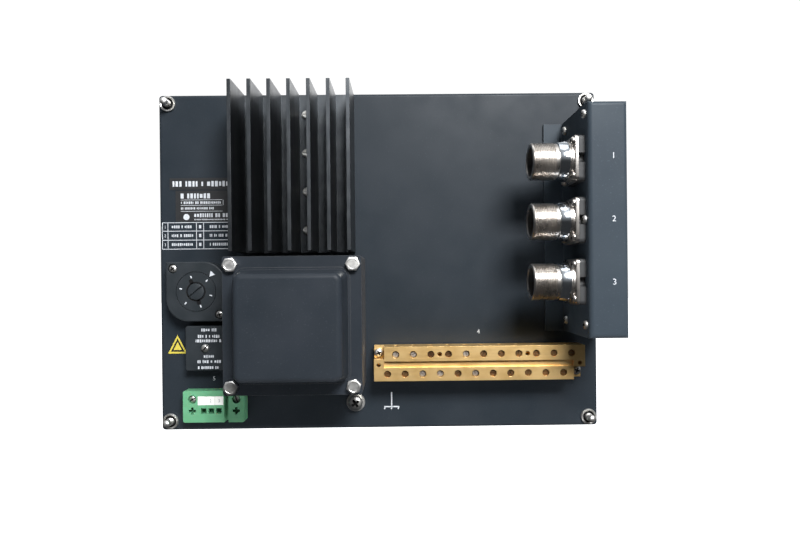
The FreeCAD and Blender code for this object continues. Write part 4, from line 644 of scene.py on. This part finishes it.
def socket_shell_master():
    """A threaded barrel with a relief groove, a smooth cone, a neck and a square flange."""
    profile = [(9.6, 0), (10.85, 0), (11.3, -0.45)]
    profile += ridges(11.5, 10.9, -0.9, -15.2, 1.0)
    profile += [(11.0, -15.3), (11.0, -16.2), (11.75, -16.6), (11.9, -16.9), (12.6, -21.9), (12.55, -22.3),
                (12.2, -22.5), (12.2, -23.1), (13.2, -23.3), (13.2, -24.9), (TAIL_RADIUS, -24.9),
                (TAIL_RADIUS, -36.6), (BARREL_BORE, -36.6), (BARREL_BORE, -0.55)]
    turned = lathe(profile, 72, closed=True)
    turned = repaint(turned, 1, lambda face: RING_END < face.center.z < RING_START)
    # The bore's inner wall takes the dark insert plastic: painted shade in the socket's mouth.
    turned = repaint(turned, 2, lambda face: face.center.xy.length < BARREL_BORE + 0.2)
    plate = slab(rounded_outline(FLANGE_SIDE, FLANGE_SIDE, FLANGE_CORNER), -26.6, -24.6, 0.35)
    plate = combined(plate, lathe([(0, -30), (9.65, -30), (9.65, -20), (0, -20)], 48))
    return joined([(turned, HERE), (plate, HERE)])


def make_sockets():
    master = socket_shell_master()
    for number in (1, 2, 3):
        node = f"socket_shell_{number}"
        low, high = corners_of(node)
        place = at(low.x, -(low.y + high.y) / 2, (low.z + high.z) / 2, LEFTWARD)
        piece(f"socket_{number}", [(master, place)], "chassis", "nickel", [node],
              [FINISHES["nickel"], RING_CHROME, FINISHES["insert_plastic"]])


# ---------------------------------------------------------------- selector, fuse cap and dial

def make_fuse_cap():
    cap = lathe([(0, 0), (4.5, 0), (5.35, -0.28), (5.7, -0.95), (5.7, -2.4), (1.95, -2.4), (1.95, -5.4),
                 (0, -5.4)], 56)
    cap = combined(cap, bar(0, 0, 13.1, 1.2, -1.2, 1))
    piece("fuse_cap_moulding", [(cap, at(*rear_faces("fuse_cap")[0], REARWARD, 40))], "fuse_cap_body",
          "selector_plastic", ["fuse_cap"])


# Angles in degrees and radii in millimetres about the middle of the dial.
MARK_ANGLES, MARK_RADIUS = (108, 45, -15, -72, -132, 169), 10.3
# The notch sheets and the ring in the gap round the fuse cap are painted shade.
NOTCH_ANGLES, NOTCH_RADIUS = (115, -75), 7.3
CAP_GAP_SHADE = ((5.9, 0), (6.5, 0), (6.5, INK), (5.9, INK))
POINTER_ANGLE, POINTER_RADIUS = 47.6, 15.7


def polar(angle, radius):
    turn = math.radians(angle)
    return DIAL_X + radius * math.cos(turn), DIAL_Z + radius * math.sin(turn)


def make_dial_marks():
    places = []
    for angle in MARK_ANGLES:
        x, z = polar(angle, MARK_RADIUS)
        places.append((bar(0, 0, 1.7, 0.8, 0, INK), at(x, DIAL_FACE, z, REARWARD, angle)))
    piece("dial_marks", places, "dial", "selector_plastic", finish=[WHITE_INK])
    # Flat near-black sheets on the dial face: painted shade standing in for the two notches and for the gap
    # round the fuse cap.
    shade_marks = []
    for angle in NOTCH_ANGLES:
        x, z = polar(angle, NOTCH_RADIUS)
        shade_marks.append((slab(rounded_outline(3.4, 2.6, 0.8), 0, INK), at(x, DIAL_FACE, z, REARWARD, angle)))
    shade_marks.append((lathe(CAP_GAP_SHADE, 48, closed=True), at(DIAL_X, DIAL_FACE, DIAL_Z)))
    piece("dial_notch_shades", shade_marks, "dial", "selector_plastic", finish=[RECESS_SHADE])
    x, z = polar(POINTER_ANGLE, POINTER_RADIUS)
    arrow = slab([(-2.2, 0), (1.3, 2.0), (1.3, -2.0)], 0, INK)
    piece("selector_pointer", [(arrow, at(x, DIAL_FACE, z, REARWARD, POINTER_ANGLE))], "chassis",
          "selector_plastic", finish=[WHITE_INK])


# ---------------------------------------------------------------- printing, all of it generic

CAPITAL = 0.72    # height of a digit as a share of the font's size

# Left end, right end, middle height, letter height and seed of each line of blocks.
NAMEPLATE_LINES = ((-135.2, -113.5, 45.6, 3.4, 2), (-135.0, -107.5, 41.0, 1.7, 3),
                   (-135.0, -112.0, 37.1, 1.5, 4))
SPARE_LID_LINES = ((-119.5, -109.2, -45.7, 2.0, 41), (-121.8, -106.6, -50.0, 2.0, 42),
                   (-123.4, -105.4, -53.0, 2.0, 43), (-118.0, -110.9, -63.5, 2.0, 44),
                   (-122.2, -107.0, -67.0, 2.0, 45), (-122.0, -107.4, -71.0, 1.8, 46))

# Middle across, middle height, width and height of each plain rule or block.
NAMEPLATE_RULES = ((-121.0, 42.9, 28.5, 0.25), (-121.0, 39.2, 28.5, 0.25), (-121.0, 35.1, 28.5, 0.25),
                   (-106.2, 41.0, 0.25, 3.6), (-98.4, 45.4, 1.5, 4.2), (-100.6, 38.2, 1.5, 4.6))
EARTH_SYMBOL = ((8.0, -95.4, 0.8, 10.0), (8.0, -100.4, 10.2, 0.8))

TABLE_LEFT, TABLE_RIGHT, TABLE_RULE = -148.0, -96.5, 0.42
TABLE_LEVELS, TABLE_COLUMNS = (27.4, 21.6, 15.4, 9.3), (-144.2, -124.7, -119.8)
TABLE_ROWS = (24.5, 18.5, 12.4)
TABLE_OVERLAP = 0.4
TABLE_NUMBER, TABLE_NUMBER_HEIGHT = -146.1, 2.0
TABLE_TEXTS, TABLE_TEXT_HEIGHT = ((-141.6, -127.4, 20), (-115.6, -98.4, 30)), 1.9
TABLE_UNIT, TABLE_UNIT_WIDTH, TABLE_UNIT_HEIGHT = -122.2, 1.5, 2.2
SPOT_X, SPOT_Z, SPOT_RADIUS = -131.4, 31.2, 2.1

# Digit, height, middle across and middle height of the numbers printed on the cover.
COVER_NUMERALS = (("4", 3.0, 68.2, -49.3), ("5", 2.8, -113.6, -79.6))
EARTH_RAYS, EARTH_RAY_LEVEL, EARTH_RAY_SPIN = (3.3, 8.0, 12.7), -101.2, -20
STRIP_NUMERAL_X, STRIP_NUMERAL_HEIGHT = 141.4, 3.6


def wording(left, right, z, height, seed, reach=FACE):
    """A row of small blocks where a printed line stood."""
    dice = random.Random(seed)
    places = []
    x = left
    while x < right - height * 0.3:
        width = dice.uniform(0.28, 0.6) * height
        tall = height * dice.choice((1.0, 1.0, 0.78))
        places.append((bar(0, 0, width, tall, 0, INK), at(x + width / 2, reach, z)))
        x += width + height * 0.24
        if dice.random() < 0.16:
            x += height * 0.5
    return places


def line(x, z, width, height, reach=FACE):
    return [(bar(0, 0, width, height, 0, INK), at(x, reach, z))]


def numeral(text, height):
    """A digit's mesh about its own middle, height millimetres tall."""
    curve = bpy.data.curves.new("numeral", "FONT")
    curve.body = text
    curve.size = height / CAPITAL
    curve.extrude = INK / 2
    curve.resolution_u = 4
    curve.align_x = "CENTER"
    holder = bpy.data.objects.new("numeral", curve)
    bpy.context.scene.collection.objects.link(holder)
    depsgraph = bpy.context.evaluated_depsgraph_get()
    mesh = bpy.data.meshes.new_from_object(holder.evaluated_get(depsgraph))
    mesh.transform(Matrix.Translation((0, -height / 2, INK / 2)))
    bpy.data.objects.remove(holder)
    return mesh


def make_nameplate():
    right = corners_of("labels")[1].x
    white = wording(-140.6, right - 1.2, 53.9, 3.7, 1, LABEL_FACE)
    for entry in NAMEPLATE_LINES:
        white += wording(*entry, LABEL_FACE)
    for rule in NAMEPLATE_RULES:
        white += line(*rule, LABEL_FACE)
    white += wording(-126.0, right - 0.8, 32.3, 2.6, 5, LABEL_FACE)
    white += wording(-126.0, right - 0.8, 29.4, 0.8, 6, LABEL_FACE)
    disc = lathe([(0, 0), (SPOT_RADIUS, 0), (SPOT_RADIUS, INK), (0, INK)], 32)
    white.append((disc, at(SPOT_X, LABEL_FACE, SPOT_Z)))
    piece("nameplate_print", white, "chassis", "label_film", finish=[WHITE_INK])


def make_rating_table():
    middle, width = (TABLE_LEFT + TABLE_RIGHT) / 2, TABLE_RIGHT - TABLE_LEFT
    height = TABLE_LEVELS[0] - TABLE_LEVELS[-1]
    white = []
    for z in TABLE_LEVELS:
        white += line(middle, z, width, TABLE_RULE)
    for x in (TABLE_LEFT, *TABLE_COLUMNS):
        white += line(x, TABLE_LEVELS[-1] + height / 2, TABLE_RULE, height + TABLE_OVERLAP)
    for row, z in enumerate(TABLE_ROWS):
        white.append((numeral(str(row + 1), TABLE_NUMBER_HEIGHT), at(TABLE_NUMBER, FACE, z)))
        for left, right, seed in TABLE_TEXTS:
            white += wording(left, right, z, TABLE_TEXT_HEIGHT, seed + row)
        white += line(TABLE_UNIT, z, TABLE_UNIT_WIDTH, TABLE_UNIT_HEIGHT)
    piece("rating_table_print", white, "chassis", "powder_coat", finish=[WHITE_INK])


def make_signs():
    """A plain triangle: a border, and a smaller triangle inside it, about its centre of area."""
    low, high = solids("labels")[-1]
    middle = (low.x + high.x) / 2
    centre = low.z + (high.z - low.z) / 3
    corners = [(low.x - middle, low.z - centre), (high.x - middle, low.z - centre), (0, high.z - centre)]
    outer, inner, core = [[(x * share, z * share) for x, z in corners] for share in (0.97, 0.7, 0.42)]
    bm = bmesh.new()
    rings = [[bm.verts.new((x, z, level)) for x, z in points]
             for points, level in ((outer, 0), (outer, INK), (inner, INK), (inner, 0))]
    for one, two in zip(rings, rings[1:] + rings[:1]):
        for side in range(3):
            after = (side + 1) % 3
            bm.faces.new((one[side], one[after], two[after], two[side]))
    border = to_mesh(bm, "triangle")
    place = at(middle, -low.y, centre)
    piece("triangle_sign_print", [(border, place), (slab(core, 0, INK), place)], "chassis", "label_film",
          finish=[YELLOW_INK])


def make_small_prints():
    white = []
    for entry in SPARE_LID_LINES:
        white += wording(*entry, SPARE_FACE)
    piece("spare_lid_print", white, "spare_lid", "selector_plastic", finish=[WHITE_INK])
    places = [(numeral(digit, height), at(x, FACE, z)) for digit, height, x, z in COVER_NUMERALS]
    for rule in EARTH_SYMBOL:
        places += line(*rule)
    ray = bar(0, 0, 0.75, 1.9, 0, INK)
    for x in EARTH_RAYS:
        places.append((ray, at(x, FACE, EARTH_RAY_LEVEL, REARWARD, EARTH_RAY_SPIN)))
    piece("cover_print", places, "chassis", "powder_coat", finish=[WHITE_INK])
    places = []
    for number in (1, 2, 3):
        low, high = corners_of(f"socket_shell_{number}")
        mesh = numeral(str(number), STRIP_NUMERAL_HEIGHT)
        places.append((mesh, at(STRIP_NUMERAL_X, STRIP_FACE, (low.z + high.z) / 2)))
    piece("strip_numerals", places, "chassis", "bracket_coat", finish=[WHITE_INK])


MARKER_TABS, TAB_GAP, TAB_SUNK = 3, 0.12, 0.06
PAD_WIDTH, PAD_HEIGHT, PAD_CORNER, PAD_SUNK = 19.0, 17.0, 2.6, 0.06
PAD_ROWS, PAD_COLUMNS, PAD_STEP_X, PAD_STEP_Z, FIRST_PAD_X, FIRST_PAD_Z = 7, 4, 25.5, 28.0, 38.0, 84.0
PAD_DIGITS = {(1, 0): "7", (1, 1): "8", (1, 2): "9", (2, 0): "4", (2, 1): "5", (2, 2): "6",
              (3, 0): "1", (3, 1): "2", (3, 2): "3", (4, 0): "0"}


def make_plug_marker():
    low, high = corners_of("plug_marker")
    width = (high.x - low.x) / MARKER_TABS
    middle = (low.z + high.z) / 2
    gauge = high.y - low.y
    tab = slab(rounded_outline(width - TAB_GAP, high.z - low.z, 0.3), -gauge, -TAB_SUNK, 0.08)
    spots = [low.x + width * (number + 0.5) for number in range(MARKER_TABS)]
    strip = [(tab, at(x, -low.y, middle)) for x in spots]
    piece("plug_marker_strip", strip, "plug", "marker_white", ["plug_marker"])
    grey = [(numeral(str(number), 2.2), at(x, -low.y - TAB_SUNK, middle))
            for number, x in enumerate(spots, 1)]
    piece("plug_marker_print", grey, "plug", "marker_white", finish=[GREY_INK])


def make_keypad():
    low, high = corners_of("keypad_foil")
    outer = high.y
    width, height = high.x - low.x, high.z - low.z
    x0, z0 = (low.x + high.x) / 2, (low.z + high.z) / 2
    base = slab(rounded_outline(width, height, 4.0), -(high.y - low.y), -0.3, 0.1)
    sheet = [(base, at(x0, -outer, z0, FRONTWARD))]
    pad = slab(rounded_outline(PAD_WIDTH, PAD_HEIGHT, PAD_CORNER), -0.3, -PAD_SUNK, 0.15)
    pads, prints = [], []
    for row in range(PAD_ROWS):
        for column in range(PAD_COLUMNS):
            x, z = x0 + FIRST_PAD_X - PAD_STEP_X * column, z0 + FIRST_PAD_Z - PAD_STEP_Z * row
            pads.append((pad, at(x, -outer, z, FRONTWARD)))
            mark = PAD_DIGITS.get((row, column))
            mesh = numeral(mark, 6.0) if mark else bar(0, 0, 7.0, 1.0, 0, INK)
            prints.append((mesh, at(x, -outer + PAD_SUNK, z, FRONTWARD)))
    piece("keypad_sheet", sheet, "chassis", "foil", ["keypad_foil"])
    piece("keypad_pads", pads, "chassis", "foil", finish=[PAD_FILM])
    piece("keypad_print", prints, "chassis", "foil", finish=[WHITE_INK])


# ---------------------------------------------------------------- camera, light and stage

LENS, SENSOR_WIDTH, CLIPPING = 26.92, 36.0, (0.01, 50.0)
CAMERA_PLACE, CAMERA_TILT = (11.2, -491.5, -11.4), ((0.57, "Z"), (0.47, "Y"), (0.04, "X"))
SEEN_WHITE, SKY_COLOUR = 1.05, (0.93, 0.96, 1, 1)
SKY_FADE = (("From Min", -0.05), ("From Max", 0.9), ("To Min", 0.035), ("To Max", 0.5))
FLOOR_LEVEL, FLOOR_HALF, FLOOR_START, FLOOR_END = -0.5, 8.0, -0.7, 12.0

# Name, place, aim, size, power and colour of each lamp, in metres and watts.
LAMPS = (("key", (0.34, -1.05, 0.72), (0.0, 0, -0.02), (0.5, 0.36), 34.0, (0.98, 0.99, 1.0)),
         ("overhead", (-0.1, -0.1, 1.3), (0, 0, 0), (1.4, 0.8), 4.5, (0.95, 0.98, 1.0)),
         ("back_fill", (0.5, 1.3, 0.8), (0, 0, 0), (1.2, 1.2), 11.0, (1.0, 1.0, 1.0)))


def make_camera():
    """A level camera behind the unit, a hair off square to the cover."""
    data = bpy.data.cameras.new("camera")
    data.lens = LENS
    data.sensor_width = SENSOR_WIDTH
    data.clip_start, data.clip_end = CLIPPING
    camera = bpy.data.objects.new("camera", data)
    bpy.context.scene.collection.objects.link(camera)
    tilt = Matrix.Identity(3)
    for degrees, axis in CAMERA_TILT:
        tilt = tilt @ Matrix.Rotation(math.radians(degrees), 3, axis)
    turned = REARWARD.to_3x3() @ tilt.transposed()
    camera.matrix_world = Matrix.Translation(Vector(CAMERA_PLACE) * MM) @ turned.to_4x4()
    bpy.context.scene.camera = camera


def area_light(name, place, aim, size, power, colour):
    data = bpy.data.lights.new(name, "AREA")
    data.shape = "RECTANGLE"
    data.size, data.size_y = size
    data.energy = power
    data.color = colour
    lamp = bpy.data.objects.new(name, data)
    lamp.location = place
    lamp.visible_camera = False
    lamp.rotation_euler = (Vector(aim) - Vector(place)).to_track_quat("-Z", "Y").to_euler()
    bpy.context.scene.collection.objects.link(lamp)


def make_world():
    """White all round for the eye; for the light, brighter above than below."""
    world = bpy.data.worlds.new("world")
    bpy.context.scene.world = world
    world.use_nodes = True
    tree = world.node_tree
    for item in list(tree.nodes):
        tree.nodes.remove(item)
    output = tree.nodes.new("ShaderNodeOutputWorld")
    seen, lit = tree.nodes.new("ShaderNodeBackground"), tree.nodes.new("ShaderNodeBackground")
    seen.inputs["Color"].default_value = (1, 1, 1, 1)
    seen.inputs["Strength"].default_value = SEEN_WHITE
    lit.inputs["Color"].default_value = SKY_COLOUR
    place = tree.nodes.new("ShaderNodeTexCoord")
    axes = tree.nodes.new("ShaderNodeSeparateXYZ")
    fade = tree.nodes.new("ShaderNodeMapRange")
    for socket, number in SKY_FADE:
        fade.inputs[socket].default_value = number
    path = tree.nodes.new("ShaderNodeLightPath")
    both = tree.nodes.new("ShaderNodeMixShader")
    tree.links.new(place.outputs["Generated"], axes.inputs[0])
    tree.links.new(axes.outputs["Z"], fade.inputs["Value"])
    tree.links.new(fade.outputs["Result"], lit.inputs["Strength"])
    tree.links.new(path.outputs["Is Camera Ray"], both.inputs[0])
    tree.links.new(lit.outputs[0], both.inputs[1])
    tree.links.new(seen.outputs[0], both.inputs[2])
    tree.links.new(both.outputs[0], output.inputs["Surface"])


def make_floor():
    bm = bmesh.new()
    bmesh.ops.create_grid(bm, x_segments=8, y_segments=8, size=1.0)
    for vert in bm.verts:
        vert.co.x *= FLOOR_HALF
        vert.co.y = FLOOR_START + (vert.co.y + 1) / 2 * (FLOOR_END - FLOOR_START)
    mesh = bpy.data.meshes.new("floor")
    bm.to_mesh(mesh)
    bm.free()
    floor = bpy.data.objects.new("floor", mesh)
    floor.location = (0, 0, FLOOR_LEVEL)
    floor.visible_glossy = False
    bpy.context.scene.collection.objects.link(floor)
    pale = Finish("floor_finish", (0.93, 0.93, 0.93), 0.9, rounding=0, Emission_Color=(1, 1, 1, 1),
                  Emission_Strength=1.2)
    pale.colour(pale.blend(pale.noise(120, 3), (0.92, 0.92, 0.925), (0.95, 0.95, 0.95)))
    mesh.materials.append(pale.material)


def make_light():
    for lamp in LAMPS:
        area_light(*lamp)


make_camera()
make_world()
make_floor()
make_light()
make_fasteners()
make_terminal_screws()
make_sockets()
make_fuse_cap()
make_dial_marks()
make_nameplate()
make_rating_table()
make_signs()
make_small_prints()
make_plug_marker()
make_keypad()
bpy.context.scene.view_settings.view_transform = "Standard"
